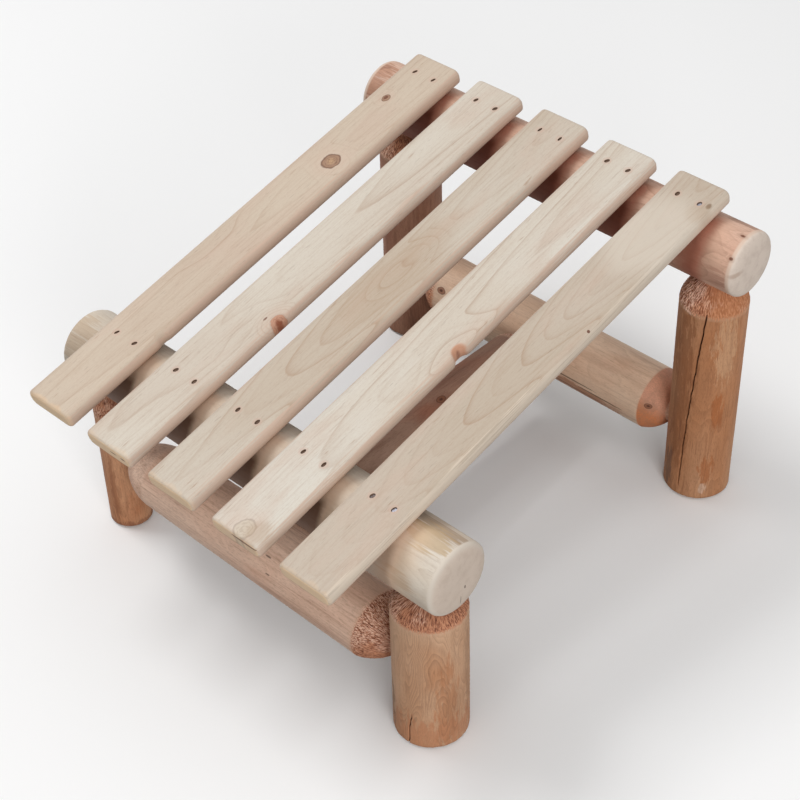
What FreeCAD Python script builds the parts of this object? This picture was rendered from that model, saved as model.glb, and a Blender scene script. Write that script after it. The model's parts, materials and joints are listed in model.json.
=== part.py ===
import FreeCAD, Part
import math
import os

os.makedirs("parts", exist_ok=True)
Vec = FreeCAD.Vector

# Log ottoman: slats nailed to two log rails, on four log legs that three log stretchers tie together.
# X runs along the rails, Y from the low front to the high back, and Z up.
# The origin is on the floor under the middle of the ottoman. Lengths are in millimetres.

# Slats: dressed boards with rounded long edges and sawn ends
slat_count = 5
slat_width = 63.5
slat_thickness = 19.0
slat_length = 590.0
slat_gap = 26.0
slat_edge_radius = 7.0
slat_end_bevel = 1.2
slat_slope = 11.9            # degrees, the top rises from front to back
slat_row_shift = -2.0        # the row's middle lies this far right of the rails' middle
front_overhang = 105.0       # from the slats' front ends to the front rail, along the slats
back_overhang = 31.0         # from the back rail to the slats' back ends, along the slats

# Rails: peeled logs with rounded ends and a shallow flat under each slat
front_rail_diameter = 79.0
back_rail_diameter = 73.0
front_rail_overhang = 51.25  # how far the rail runs past the row of slats at each end
back_rail_overhang = 45.75
rail_end_radius = 12.0
front_rail_height = 218.6    # the front rail's axis above the floor
seat_depth = 0.8             # how deep a slat's flat is planed into a rail

# Legs: peeled logs with a bevelled foot, a rounded cone cut under the rail and a round tenon
leg_lean = 1.1               # degrees, the legs lean back as they rise
front_left_leg_diameter = 48.0
front_right_leg_diameter = 77.0
back_left_leg_diameter = 73.0
back_right_leg_diameter = 74.0
front_left_leg_inset = 40.0  # from the rail's end to the leg's axis
front_right_leg_inset = 38.5
back_left_leg_inset = 39.0
back_right_leg_inset = 44.5
front_left_leg_lead = 9.0    # how far the leg's axis passes in front of its rail's axis
front_right_leg_lead = 1.5
back_leg_lead = -4.0         # the back legs pass behind theirs
foot_bevel = 3.0
front_left_leg_cone = 25.0
front_right_leg_cone = 14.0
back_leg_cone = 26.0
leg_tenon_diameter = 38.0
thin_leg_tenon_diameter = 28.0
leg_tenon_length = 42.0
cone_bulge = 3.0             # how far the middle of a cone swells past a straight one

# Stretchers: peeled logs with a long rounded cone cut at each end and a round tenon
front_stretcher_left_diameter = 71.0
front_stretcher_right_diameter = 76.0
back_stretcher_diameter = 74.5
centre_stretcher_diameter = 72.0
front_stretcher_left_height = 98.5  # where a stretcher's axis meets a leg's, above the floor
front_stretcher_right_height = 86.0
back_stretcher_height = 82.0
centre_stretcher_shift = -7.0  # the centre stretcher's axis lies left of the rails' middle
front_stretcher_cone = 32.0
thin_leg_stretcher_cone = 45.0
thin_leg_stretcher_bulge = 5.0
back_stretcher_cone = 25.0
centre_stretcher_cone = 20.0
stretcher_tenon_diameter = 34.0
stretcher_tenon_length = 42.0
thin_leg_stretcher_tenon_diameter = 24.0
thin_leg_stretcher_tenon_length = 30.0

# Fits of the round tenons in their mortises
tenon_clearance = 0.15       # all round
cone_clearance = 0.5         # between a stretcher's cone and the log that it meets
mortise_end_gap = 2.0        # room for glue past the tenon's end
tenon_bevel = 1.5

# Nails: round wire nails with their heads set below the wood
nail_shank_diameter = 3.0
nail_head_diameter = 6.6
nail_head_thickness = 1.3
nail_point_length = 5.0
nail_set = 1.6               # how far a head lies below the wood
nail_clearance = 0.05
slat_nail_length = 45.0
slat_nail_spacing = 27.0     # between the two nails across a slat
slat_nail_shift = 3.0        # the pair sits this far right of the slat's middle
lock_nail_cover = 8.0        # wood left when a lock nail is driven into the thinnest leg

# Worked out from the sizes above
slope = math.radians(slat_slope)
up_slat = Vec(0, math.cos(slope), math.sin(slope))
out_of_slat = Vec(0, -math.sin(slope), math.cos(slope))
lean = math.radians(leg_lean)
up_leg = Vec(0, math.sin(lean), math.cos(lean))
slat_pitch = slat_width + slat_gap
slat_row_width = slat_count * slat_pitch - slat_gap
rail_spacing = slat_length - front_overhang - back_overhang
front_rail_length = slat_row_width + 2 * front_rail_overhang
back_rail_length = slat_row_width + 2 * back_rail_overhang
front_rail_radius = front_rail_diameter / 2
back_rail_radius = back_rail_diameter / 2
lock_nail_length = front_left_leg_diameter - lock_nail_cover

# The slats' underside rests on the rails, first measured from the front rail's axis
front_seat = out_of_slat * (front_rail_radius - seat_depth)
back_seat = front_seat + up_slat * rail_spacing
back_offset = back_seat - out_of_slat * (back_rail_radius - seat_depth)
slat_foot = front_seat - up_slat * front_overhang
slat_head = slat_foot + up_slat * slat_length
back_rail_height = front_rail_height + back_offset.z
back_foot = back_offset.y - back_leg_lead - back_rail_height * math.tan(lean)
back_leg_rim = (back_rail_height - back_rail_radius) / up_leg.z - back_leg_cone
back_leg_radius = max(back_left_leg_diameter, back_right_leg_diameter) / 2
back_leg_reach = back_foot + back_leg_rim * up_leg.y + back_leg_radius * up_leg.z
back_stretcher_reach = back_foot + back_stretcher_height * math.tan(lean) + back_stretcher_diameter / 2
front_reach = (slat_foot + out_of_slat * (slat_thickness - slat_end_bevel)).y
back_reach = max(
    (slat_head + out_of_slat * slat_end_bevel).y,
    back_offset.y + back_rail_radius,
    back_leg_reach,
    back_stretcher_reach,
)

# The middle of that depth goes over the origin
front_axis = Vec(0, -(front_reach + back_reach) / 2, front_rail_height)
back_axis = front_axis + back_offset
slat_start = front_axis + slat_foot + Vec(slat_row_shift, 0, 0)


def turned(points, bulges=()):
    """A solid turned round the Z axis from (radius, height) points that start and end on the axis.

    A bulge is (number, swell): the stretch after that point is an arc that swells outwards by so much.
    """
    swells = dict(bulges)
    corners = [Vec(radius, 0, height) for radius, height in points]
    edges = []
    for number, start in enumerate(corners):
        end = corners[(number + 1) % len(corners)]
        if number in swells:
            outward = Vec(end.z - start.z, 0, start.x - end.x).normalize()
            middle = (start + end) * 0.5 + outward * swells[number]
            edges.append(Part.Arc(start, middle, end).toShape())
        else:
            edges.append(Part.LineSegment(start, end).toShape())
    return Part.Face(Part.Wire(edges)).revolve(Vec(0, 0, 0), Vec(0, 0, 1), 360)


def along(shape, start, direction):
    """The shape moved so that its Z axis starts at a point and runs in a direction."""
    moved = shape.copy()
    moved.Placement = FreeCAD.Placement(start, FreeCAD.Rotation(Vec(0, 0, 1), direction))
    return moved


def cut_all(shape, tools):
    """The shape without the tools that reach it."""
    near = [tool for tool in tools if tool.BoundBox.intersect(shape.BoundBox)]
    return shape.cut(near) if near else shape


def side_of_log(radius, offset):
    """How far a log's side lies from its axis, seen past an offset from the axis."""
    return math.sqrt(radius ** 2 - offset ** 2)


# Slats
def slat_place(index):
    """A slat's own frame: X across it, Y up its slope, Z out of its top, from its underside's front end."""
    across = (index - (slat_count - 1) / 2) * slat_pitch
    return FreeCAD.Placement(slat_start + Vec(across, 0, 0), FreeCAD.Rotation(Vec(1, 0, 0), slat_slope))


def slat(index):
    """A board with its long edges rounded and its sawn ends slightly bevelled."""
    board = Part.makeBox(slat_width, slat_length, slat_thickness, Vec(-slat_width / 2, 0, 0))
    long_edges = [edge for edge in board.Edges if edge.BoundBox.YLength > slat_length / 2]
    board = board.makeFillet(slat_edge_radius, long_edges)
    end_edges = [edge for edge in board.Edges if edge.BoundBox.YLength < slat_length / 2]
    board = board.makeChamfer(slat_end_bevel, end_edges)
    board.Placement = slat_place(index)
    return board


# Rails
def rail(length, radius, axis):
    """A log along X with both ends rounded over."""
    half = length / 2
    flat_radius = radius - rail_end_radius
    round_start = half - rail_end_radius
    bend = rail_end_radius * math.sqrt(0.5)
    outline = [Part.LineSegment(Vec(radius, 0, -round_start), Vec(radius, 0, round_start))]
    for end in (-1, 1):
        flat = Vec(flat_radius, 0, end * half)
        middle = Vec(flat_radius + bend, 0, end * (round_start + bend))
        side = Vec(radius, 0, end * round_start)
        outline.append(Part.LineSegment(Vec(0, 0, end * half), flat))
        outline.append(Part.Arc(flat, middle, side))
    outline.append(Part.LineSegment(Vec(0, 0, half), Vec(0, 0, -half)))
    wire = Part.Wire(Part.__sortEdges__([line.toShape() for line in outline]))
    log = Part.Face(wire).revolve(Vec(0, 0, 0), Vec(0, 0, 1), 360)
    return along(log, axis, Vec(1, 0, 0))


def slat_seats(radius, seat_along):
    """The flats planed into a rail of this radius for the slats, where it lies along them."""
    seats = []
    for index in range(slat_count):
        seat = Part.makeBox(slat_width, 2 * radius, radius, Vec(-slat_width / 2, seat_along - radius, 0))
        seat.Placement = slat_place(index)
        seats.append(seat)
    return seats


# Legs
def leg(diameter, cone, tenon_diameter, foot, rail_bottom):
    """A leaning log sawn level at the floor, with a cone up to the rail and a tenon into it."""
    radius = diameter / 2
    tenon = tenon_diameter / 2
    top = rail_bottom + leg_tenon_length
    low = -radius * math.tan(lean)
    rim = 3
    log = turned(
        [
            (0, low),
            (radius - foot_bevel, low),
            (radius, low + foot_bevel),
            (radius, rail_bottom - cone),
            (tenon, rail_bottom),
            (tenon, top - tenon_bevel),
            (tenon - tenon_bevel, top),
            (0, top),
        ],
        [(rim, cone_bulge)],
    )
    below_floor = Part.makeBox(diameter, diameter, diameter, foot - Vec(radius, radius, diameter))
    return along(log, foot, up_leg).cut(below_floor)


def mortise(tenon_diameter, tenon_length, mouth, direction):
    """The bore that a tenon goes into, from its mouth inwards, open for a tenon's radius outside it."""
    radius = tenon_diameter / 2 + tenon_clearance
    depth = tenon_length + mortise_end_gap
    bore = turned([(0, -radius), (radius, -radius), (radius, depth), (0, depth)])
    return along(bore, mouth, direction)


# Stretchers
def stretcher(diameters, start, end, tenon_diameters, tenon_lengths, cones, bulges):
    """A log between the sides of two others, with a cone at each end and a tenon into each side."""
    first_radius, last_radius = [value / 2 for value in diameters]
    span = (end - start).Length
    first, last = [value / 2 for value in tenon_diameters]
    low = -tenon_lengths[0]
    high = span + tenon_lengths[1]
    cone_foot = 3
    rim = 5
    log = turned(
        [
            (0, low),
            (first - tenon_bevel, low),
            (first, low + tenon_bevel),
            (first, cone_clearance),
            (first_radius, cones[0]),
            (last_radius, span - cones[1]),
            (last, span - cone_clearance),
            (last, high - tenon_bevel),
            (last - tenon_bevel, high),
            (0, high),
        ],
        [(cone_foot, bulges[0]), (rim, bulges[1])],
    )
    return along(log, start, end - start)


# Nails
def nail(length, head, direction):
    """A wire nail whose head's top is at a point, driven in a direction."""
    shank = nail_shank_diameter / 2
    cap = nail_head_diameter / 2
    wire = turned([
        (0, 0),
        (cap, 0),
        (cap, nail_head_thickness),
        (shank, nail_head_thickness),
        (shank, length - nail_point_length),
        (0, length),
    ])
    return along(wire, head, direction)


def nail_hole(length, head, direction):
    """The hole that such a nail makes, with its mouth open past the wood's surface."""
    shank = nail_shank_diameter / 2 + nail_clearance
    cap = nail_head_diameter / 2 + nail_clearance
    mouth = nail_set + nail_head_diameter
    hole = turned([
        (0, -mouth),
        (cap, -mouth),
        (cap, nail_head_thickness),
        (shank, nail_head_thickness),
        (shank, length - nail_point_length),
        (0, length + nail_clearance),
    ])
    return along(hole, head, direction)


# What each leg carries: its rail, and the stretcher whose tenon it holds
front_rail_frame = {"axis": front_axis, "radius": front_rail_radius, "half": front_rail_length / 2}
back_rail_frame = {"axis": back_axis, "radius": back_rail_radius, "half": back_rail_length / 2}
full_tenon = {"diameter": stretcher_tenon_diameter, "length": stretcher_tenon_length}
thin_tenon = {"diameter": thin_leg_stretcher_tenon_diameter, "length": thin_leg_stretcher_tenon_length}
legs = {
    "leg_front_left": {
        "rail": front_rail_frame,
        "side": -1,
        "inset": front_left_leg_inset,
        "lead": front_left_leg_lead,
        "diameter": front_left_leg_diameter,
        "cone": front_left_leg_cone,
        "tenon": thin_leg_tenon_diameter,
        "stretcher_height": front_stretcher_left_height,
        "stretcher_cone": thin_leg_stretcher_cone,
        "stretcher_bulge": thin_leg_stretcher_bulge,
        "stretcher_tenon": thin_tenon,
    },
    "leg_front_right": {
        "rail": front_rail_frame,
        "side": 1,
        "inset": front_right_leg_inset,
        "lead": front_right_leg_lead,
        "diameter": front_right_leg_diameter,
        "cone": front_right_leg_cone,
        "tenon": leg_tenon_diameter,
        "stretcher_height": front_stretcher_right_height,
        "stretcher_cone": front_stretcher_cone,
        "stretcher_bulge": cone_bulge,
        "stretcher_tenon": full_tenon,
    },
    "leg_back_left": {
        "rail": back_rail_frame,
        "side": -1,
        "inset": back_left_leg_inset,
        "lead": back_leg_lead,
        "diameter": back_left_leg_diameter,
        "cone": back_leg_cone,
        "tenon": leg_tenon_diameter,
        "stretcher_height": back_stretcher_height,
        "stretcher_cone": back_stretcher_cone,
        "stretcher_bulge": cone_bulge,
        "stretcher_tenon": full_tenon,
    },
    "leg_back_right": {
        "rail": back_rail_frame,
        "side": 1,
        "inset": back_right_leg_inset,
        "lead": back_leg_lead,
        "diameter": back_right_leg_diameter,
        "cone": back_leg_cone,
        "tenon": leg_tenon_diameter,
        "stretcher_height": back_stretcher_height,
        "stretcher_cone": back_stretcher_cone,
        "stretcher_bulge": cone_bulge,
        "stretcher_tenon": full_tenon,
    },
}
for place in legs.values():
    carried = place["rail"]
    across = place["side"] * (carried["half"] - place["inset"])
    passing = Vec(across, carried["axis"].y - place["lead"], carried["axis"].z)
    place["foot"] = passing - up_leg * (passing.z / up_leg.z)
    place["rail_bottom"] = (carried["axis"].z - carried["radius"]) / up_leg.z
    place["joint"] = place["foot"] + up_leg * (place["stretcher_height"] / up_leg.z)

# The cross stretchers run between the axes of two legs, and their cones end at the legs' sides
stretchers = {
    "front_stretcher": {
        "legs": (legs["leg_front_left"], legs["leg_front_right"]),
        "diameters": (front_stretcher_left_diameter, front_stretcher_right_diameter),
    },
    "back_stretcher": {
        "legs": (legs["leg_back_left"], legs["leg_back_right"]),
        "diameters": (back_stretcher_diameter, back_stretcher_diameter),
    },
}
for cross in stretchers.values():
    left, right = cross["legs"]
    run = (right["joint"] - left["joint"]).normalize()
    cross["start"] = left["joint"] + run * (left["diameter"] / 2)
    cross["end"] = right["joint"] - run * (right["diameter"] / 2)
    left["into_leg"] = run * -1
    right["into_leg"] = run
    left["mouth"] = cross["start"]
    right["mouth"] = cross["end"]
    share = (centre_stretcher_shift - cross["start"].x) / (cross["end"].x - cross["start"].x)
    cross["middle"] = cross["start"] + (cross["end"] - cross["start"]) * share
    first, last = cross["diameters"]
    cross["middle_radius"] = (first + (last - first) * share) / 2

# The centre stretcher runs between the axes of the two cross stretchers
front_middle = stretchers["front_stretcher"]["middle"]
back_middle = stretchers["back_stretcher"]["middle"]
backward = (back_middle - front_middle).normalize()
centre_start = front_middle + backward * stretchers["front_stretcher"]["middle_radius"]
centre_end = back_middle - backward * stretchers["back_stretcher"]["middle_radius"]
stretchers["front_stretcher"].update(mouth=centre_start, into_log=backward * -1)
stretchers["back_stretcher"].update(mouth=centre_end, into_log=backward)

# Nails: every nail is a length, the place of its head and its direction, in a named group
nails = {}
for index in range(slat_count):
    group = []
    for seat_along in (front_overhang, front_overhang + rail_spacing):
        for side in (-0.5, 0.5):
            across = slat_nail_shift + side * slat_nail_spacing
            head = slat_place(index).multVec(Vec(across, seat_along, slat_thickness - nail_set))
            group.append((slat_nail_length, head, out_of_slat * -1))
    nails[f"slat_{index + 1}_nails"] = group

# Lock nails cross the middle of each tenon, driven from the back of the rails and legs
forward = Vec(0, -1, 0)
nails["rail_lock_nails"] = []
nails["leg_lock_nails"] = []
for place in legs.values():
    carried = place["rail"]
    drop = carried["radius"] - leg_tenon_length / 2
    reach = side_of_log(carried["radius"], drop) - nail_set
    head = Vec(place["foot"].x, carried["axis"].y + reach, carried["axis"].z - drop)
    nails["rail_lock_nails"].append((lock_nail_length, head, forward))

    leg_radius = place["diameter"] / 2
    inset = leg_radius - place["stretcher_tenon"]["length"] / 2
    reach = side_of_log(leg_radius, inset) - nail_set
    head = place["joint"] + Vec(-place["side"] * inset, reach, 0)
    nails["leg_lock_nails"].append((lock_nail_length, head, forward))

# The centre stretcher's lock nails are driven up from below
upward = Vec(0, 0, 1)
nails["centre_lock_nails"] = []
for cross in stretchers.values():
    radius = cross["middle_radius"]
    inset = radius - stretcher_tenon_length / 2
    reach = side_of_log(radius, inset) - nail_set
    head = cross["middle"] - cross["into_log"] * inset - upward * reach
    nails["centre_lock_nails"].append((lock_nail_length, head, upward))

holes = [nail_hole(*one) for group in nails.values() for one in group]

# The wooden pieces, with their mortises and seats
pieces = {}
for index in range(slat_count):
    pieces[f"slat_{index + 1}"] = slat(index)

for name, frame, length, seat_along in (
    ("front_rail", front_rail_frame, front_rail_length, front_overhang),
    ("back_rail", back_rail_frame, back_rail_length, front_overhang + rail_spacing),
):
    tools = slat_seats(frame["radius"], seat_along)
    for place in legs.values():
        mouth = place["foot"] + up_leg * place["rail_bottom"]
        tools.append(mortise(place["tenon"], leg_tenon_length, mouth, up_leg))
    pieces[name] = cut_all(rail(length, frame["radius"], frame["axis"]), tools)

for name, place in legs.items():
    log = leg(place["diameter"], place["cone"], place["tenon"], place["foot"], place["rail_bottom"])
    tenon = place["stretcher_tenon"]
    pieces[name] = log.cut(mortise(tenon["diameter"], tenon["length"], place["mouth"], place["into_leg"]))

for name, cross in stretchers.items():
    log = stretcher(
        cross["diameters"],
        cross["start"],
        cross["end"],
        [end["stretcher_tenon"]["diameter"] for end in cross["legs"]],
        [end["stretcher_tenon"]["length"] for end in cross["legs"]],
        [end["stretcher_cone"] for end in cross["legs"]],
        [end["stretcher_bulge"] for end in cross["legs"]],
    )
    bore = mortise(stretcher_tenon_diameter, stretcher_tenon_length, cross["mouth"], cross["into_log"])
    pieces[name] = log.cut(bore)

pieces["centre_stretcher"] = stretcher(
    [centre_stretcher_diameter] * 2,
    centre_start,
    centre_end,
    [stretcher_tenon_diameter] * 2,
    [stretcher_tenon_length] * 2,
    [centre_stretcher_cone] * 2,
    [cone_bulge] * 2,
)

for name, wood in pieces.items():
    cut_all(wood, holes).exportStep(f"parts/{name}.step")
for name, group in nails.items():
    Part.makeCompound([nail(*one) for one in group]).exportStep(f"parts/{name}.step")
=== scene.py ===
import json
import math

import bpy
from mathutils import Color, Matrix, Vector


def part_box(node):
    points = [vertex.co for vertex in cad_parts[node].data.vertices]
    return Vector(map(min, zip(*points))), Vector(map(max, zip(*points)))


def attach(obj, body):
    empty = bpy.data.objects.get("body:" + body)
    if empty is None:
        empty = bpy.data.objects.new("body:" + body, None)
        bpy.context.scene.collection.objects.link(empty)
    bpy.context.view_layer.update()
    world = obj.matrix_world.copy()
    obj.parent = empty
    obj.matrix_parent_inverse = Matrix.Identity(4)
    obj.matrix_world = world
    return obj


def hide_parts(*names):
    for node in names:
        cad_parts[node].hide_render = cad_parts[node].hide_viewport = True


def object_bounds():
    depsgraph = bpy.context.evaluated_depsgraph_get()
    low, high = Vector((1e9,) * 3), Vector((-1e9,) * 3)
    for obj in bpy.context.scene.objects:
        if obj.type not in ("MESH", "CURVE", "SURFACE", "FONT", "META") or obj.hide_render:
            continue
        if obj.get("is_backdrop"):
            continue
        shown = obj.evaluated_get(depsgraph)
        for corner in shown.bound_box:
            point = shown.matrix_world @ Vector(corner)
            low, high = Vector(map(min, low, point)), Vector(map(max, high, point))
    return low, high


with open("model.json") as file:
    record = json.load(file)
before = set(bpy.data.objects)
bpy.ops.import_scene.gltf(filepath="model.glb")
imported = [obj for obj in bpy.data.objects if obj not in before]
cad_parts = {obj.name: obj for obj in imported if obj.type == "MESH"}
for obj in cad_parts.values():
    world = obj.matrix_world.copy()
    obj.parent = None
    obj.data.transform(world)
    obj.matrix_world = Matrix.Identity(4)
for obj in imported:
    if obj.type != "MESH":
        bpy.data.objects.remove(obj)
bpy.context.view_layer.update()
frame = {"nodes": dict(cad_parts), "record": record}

# Legs: four peeled softwood logs, three thick and one thin, that lean back a little and are sawn level.
# A tenon cutter has left a torn rounded cone at the top, where the leg goes up into its rail.
# Drying has opened a long crack in the back right leg and a short one in the front right foot.
leg_lean = math.radians(1.1)
up_leg = Vector((0.0, math.sin(leg_lean), math.cos(leg_lean)))
foot_bevel = 0.003
front_left_leg_cone = 0.025
front_right_leg_cone = 0.014
back_leg_cone = 0.026
cone_bulge = 0.003
leg_tenon_length = 0.042
thick_leg_tenon = 0.019
thin_leg_tenon = 0.014
log_sides = 300
log_crease = math.radians(60)
wave_depth = 0.0012
ripple_depth = 0.0002
ripple_pitch = 0.005
tuft_depth = 0.0024
body_step = 0.0022
cone_step = 0.0008
hidden_step = 0.006
mark_blur = 3
half_sawn = 0.5
first_leg_seed = 1.0


class Wire:
    """A value inside a node tree. Arithmetic on it adds the nodes that do the sum."""

    def __init__(self, tree, socket):
        self.tree = tree
        self.socket = socket

    def maths(self, operation, *others):
        return wired(self.tree, "ShaderNodeMath", self, *others, operation=operation)

    def __add__(self, other):
        return self.maths("ADD", other)

    def __sub__(self, other):
        return self.maths("SUBTRACT", other)

    def __mul__(self, other):
        return self.maths("MULTIPLY", other)

    def __truediv__(self, other):
        return self.maths("DIVIDE", other)

    def __rsub__(self, other):
        return (self * -1.0) + other

    __radd__ = __add__


def wired(tree, kind, *inputs, **settings):
    """Adds a node, fills its open sockets in order and returns its first open output."""
    node = tree.nodes.new(kind)
    for name, value in settings.items():
        setattr(node, name, value)
    open_inputs = [socket for socket in node.inputs if socket.enabled]
    for socket, value in zip(open_inputs, inputs):
        if isinstance(value, Wire):
            tree.links.new(value.socket, socket)
        elif value is not None:
            socket.default_value = value
    return Wire(tree, next(socket for socket in node.outputs if socket.enabled))


def other_output(wire, name):
    """Another output of the node that a value comes from."""
    return Wire(wire.tree, wire.socket.node.outputs[name])


def feed(node, wires):
    """Joins wires to a node's inputs by name."""
    for name, wire in wires.items():
        wire.tree.links.new(wire.socket, node.inputs[name])


def split(vector):
    """The three parts of a vector."""
    node = wired(vector.tree, "ShaderNodeSeparateXYZ", vector).socket.node
    return [Wire(vector.tree, socket) for socket in node.outputs]


def join(tree, x, y, z):
    """A vector from three parts."""
    return wired(tree, "ShaderNodeCombineXYZ", x, y, z)


def vector_maths(operation, vector, *others):
    """A sum done on each part of a vector."""
    return wired(vector.tree, "ShaderNodeVectorMath", vector, *others, operation=operation)


def ramp(value, low, high):
    """0 on the low side, 1 on the high side and a smooth rise between."""
    return wired(
        value.tree, "ShaderNodeMapRange", value, low, high, 0.0, 1.0, interpolation_type="SMOOTHSTEP"
    )


def noise(place, scale, detail=2.0, roughness=0.5):
    """Soft random values from 0 to 1, the same each run."""
    return wired(place.tree, "ShaderNodeTexNoise", place, scale, detail, roughness)


def cloud(place, sizes, detail=2.0, roughness=0.5):
    """Soft random values whose cells are stretched by a factor for each direction."""
    return noise(vector_maths("MULTIPLY", place, sizes), 1.0, detail, roughness)


def open_tree(name, kind, inputs, outputs):
    """A new node tree with its sockets by type, its inputs as wires, and its output node."""
    tree = bpy.data.node_groups.new(name, kind)
    for side, sockets in (("INPUT", inputs), ("OUTPUT", outputs)):
        for socket_type, labels in sockets.items():
            for label in labels:
                tree.interface.new_socket(label, in_out=side, socket_type="NodeSocket" + socket_type)
    entry = tree.nodes.new("NodeGroupInput")
    wires = {socket.name: Wire(tree, socket) for socket in entry.outputs if socket.name}
    return tree, wires, tree.nodes.new("NodeGroupOutput")


def named_value(tree, name, data_type="FLOAT"):
    """A value that the geometry carries under a name."""
    return wired(tree, "GeometryNodeInputNamedAttribute", name, data_type=data_type)


def stored(geometry, name, value, data_type="FLOAT"):
    """The geometry with a value kept on it under a name."""
    kind = "GeometryNodeStoreNamedAttribute"
    return wired(geometry.tree, kind, geometry, True, name, value, data_type=data_type)


def finished(geometry, material):
    """The geometry as one plain smooth mesh with its material."""
    smooth = wired(geometry.tree, "GeometryNodeSetShadeSmooth", geometry)
    plain = wired(geometry.tree, "GeometryNodeRealizeInstances", smooth)
    return wired(geometry.tree, "GeometryNodeSetMaterial", plain, True, material)


def peeled_log_tree():
    """Turns a log from its outline, and gives it slow waves, peel marks, torn cones and a drying crack."""
    wave_size = (16.0, 16.0, 5.0)
    peel_size = (95.0, 95.0, 6.0)
    peel_depth = 0.0004
    ripple_patch = (26.0, 26.0, 10.0)
    rippled = (0.4, 0.6)
    ripple_swing = 9.0
    tuft_turn = 40.0
    tuft_run = 290.0
    tuft_roughness = 0.6
    crack_bend = 1.6
    wander_size = 60.0
    crack_wander = 0.11
    crack_fade = 0.02
    crack_lead = 0.001
    crack_shows = 0.0005
    pole_radius = 0.012
    weld = 0.00001
    tree, given, leave = open_tree(
        "peeled_log",
        "GeometryNodeTree",
        {
            "Geometry": ["Outline"],
            "Int": ["Sides"],
            "Vector": ["Start", "Turn"],
            "Float": [
                "Seed", "Wave Depth", "Ripple Depth", "Ripple Pitch", "Tuft Depth",
                "Crack Depth", "Crack Width", "Crack Crowding", "Crack From", "Crack To",
                "Crack Angle From", "Crack Angle To",
            ],
            "Material": ["Material"],
        },
        {"Geometry": ["Log"]},
    )
    rows = wired(tree, "GeometryNodeAttributeDomainSize", given["Outline"])
    sheet = wired(tree, "GeometryNodeMeshGrid", 1.0, 1.0, given["Sides"] + 1.0, rows)
    position = wired(tree, "GeometryNodeInputPosition")
    across, up, _ = split(position)
    row = ((up + 0.5) * (rows - 1.0)).maths("ROUND")

    def from_outline(value, data_type="FLOAT"):
        return wired(tree, "GeometryNodeSampleIndex", given["Outline"], value, row, data_type=data_type)

    radius, _, along = split(from_outline(position, "FLOAT_VECTOR"))
    torn = from_outline(named_value(tree, "torn"))

    # The mesh crowds together along the crack, which is where the sheet's middle column lies
    half_turn = across * math.tau
    from_crack = half_turn - half_turn.maths("SINE") * given["Crack Crowding"]
    crack_share = (along - given["Crack From"]) / (given["Crack To"] - given["Crack From"])
    crack_share = crack_share.maths("MAXIMUM", 0.0).maths("MINIMUM", 1.0).maths("POWER", crack_bend)
    crack_turn = (given["Crack Angle To"] - given["Crack Angle From"]) * crack_share
    wander = (noise(join(tree, given["Seed"], 0.0, along * wander_size), 1.0) - 0.5) * crack_wander
    angle = given["Crack Angle From"] + crack_turn + wander + from_crack
    east = angle.maths("COSINE")
    north = angle.maths("SINE")
    place = join(tree, east * radius, north * radius, along + given["Seed"])

    opened = (from_crack * radius) / given["Crack Width"]
    opened = (opened * opened * -1.0).maths("EXPONENT")
    fade_in = ramp(along, given["Crack From"] - crack_lead, given["Crack From"] + crack_fade)
    fade_out = ramp(along, given["Crack To"], given["Crack To"] - crack_fade)
    crack = opened * fade_in * fade_out * ramp(given["Crack Depth"], 0.0, crack_shows) * (1.0 - torn)

    waves = cloud(place, wave_size) * given["Wave Depth"]
    peel_marks = cloud(place, peel_size, detail=1.0) * peel_depth
    bands = (along / given["Ripple Pitch"]) + cloud(place, ripple_patch) * ripple_swing
    ripples = (bands * math.tau).maths("SINE") * 0.5 + 0.5
    ripples = ripples * ramp(cloud(place, ripple_patch), *rippled) * given["Ripple Depth"]
    tuft_place = join(tree, east * tuft_turn, north * tuft_turn, (along + given["Seed"]) * tuft_run)
    tuft = noise(tuft_place, 1.0, roughness=tuft_roughness)
    worn = waves + peel_marks + ripples * (1.0 - torn)
    worn = worn + (0.5 - tuft) * given["Tuft Depth"] * torn + crack * given["Crack Depth"]
    worn_radius = radius - worn * ramp(radius, 0.0, pole_radius)

    log = stored(sheet, "torn", torn)
    log = stored(log, "tuft", tuft)
    for mark in ("sawn", "pared"):
        log = stored(log, mark, from_outline(named_value(tree, mark)))
    log = stored(log, "crack", crack)
    for name, reach in (("log_place", radius), ("worn_place", worn_radius)):
        log = stored(log, name, join(tree, east * reach, north * reach, along), "FLOAT_VECTOR")
    worn_place = named_value(tree, "worn_place", "FLOAT_VECTOR")
    log = wired(tree, "GeometryNodeSetPosition", log, True, worn_place)
    log = wired(tree, "GeometryNodeMergeByDistance", log, True, weld)
    log = wired(tree, "GeometryNodeTransform", log, given["Start"], given["Turn"])

    # A foot is sawn level with the floor
    stand_x, stand_y, stand_z = split(position)
    level = join(tree, stand_x, stand_y, stand_z.maths("MAXIMUM", 0.0))
    log = wired(tree, "GeometryNodeSetPosition", log, True, level)
    feed(leave, {"Log": finished(log, given["Material"])})
    return tree


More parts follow.
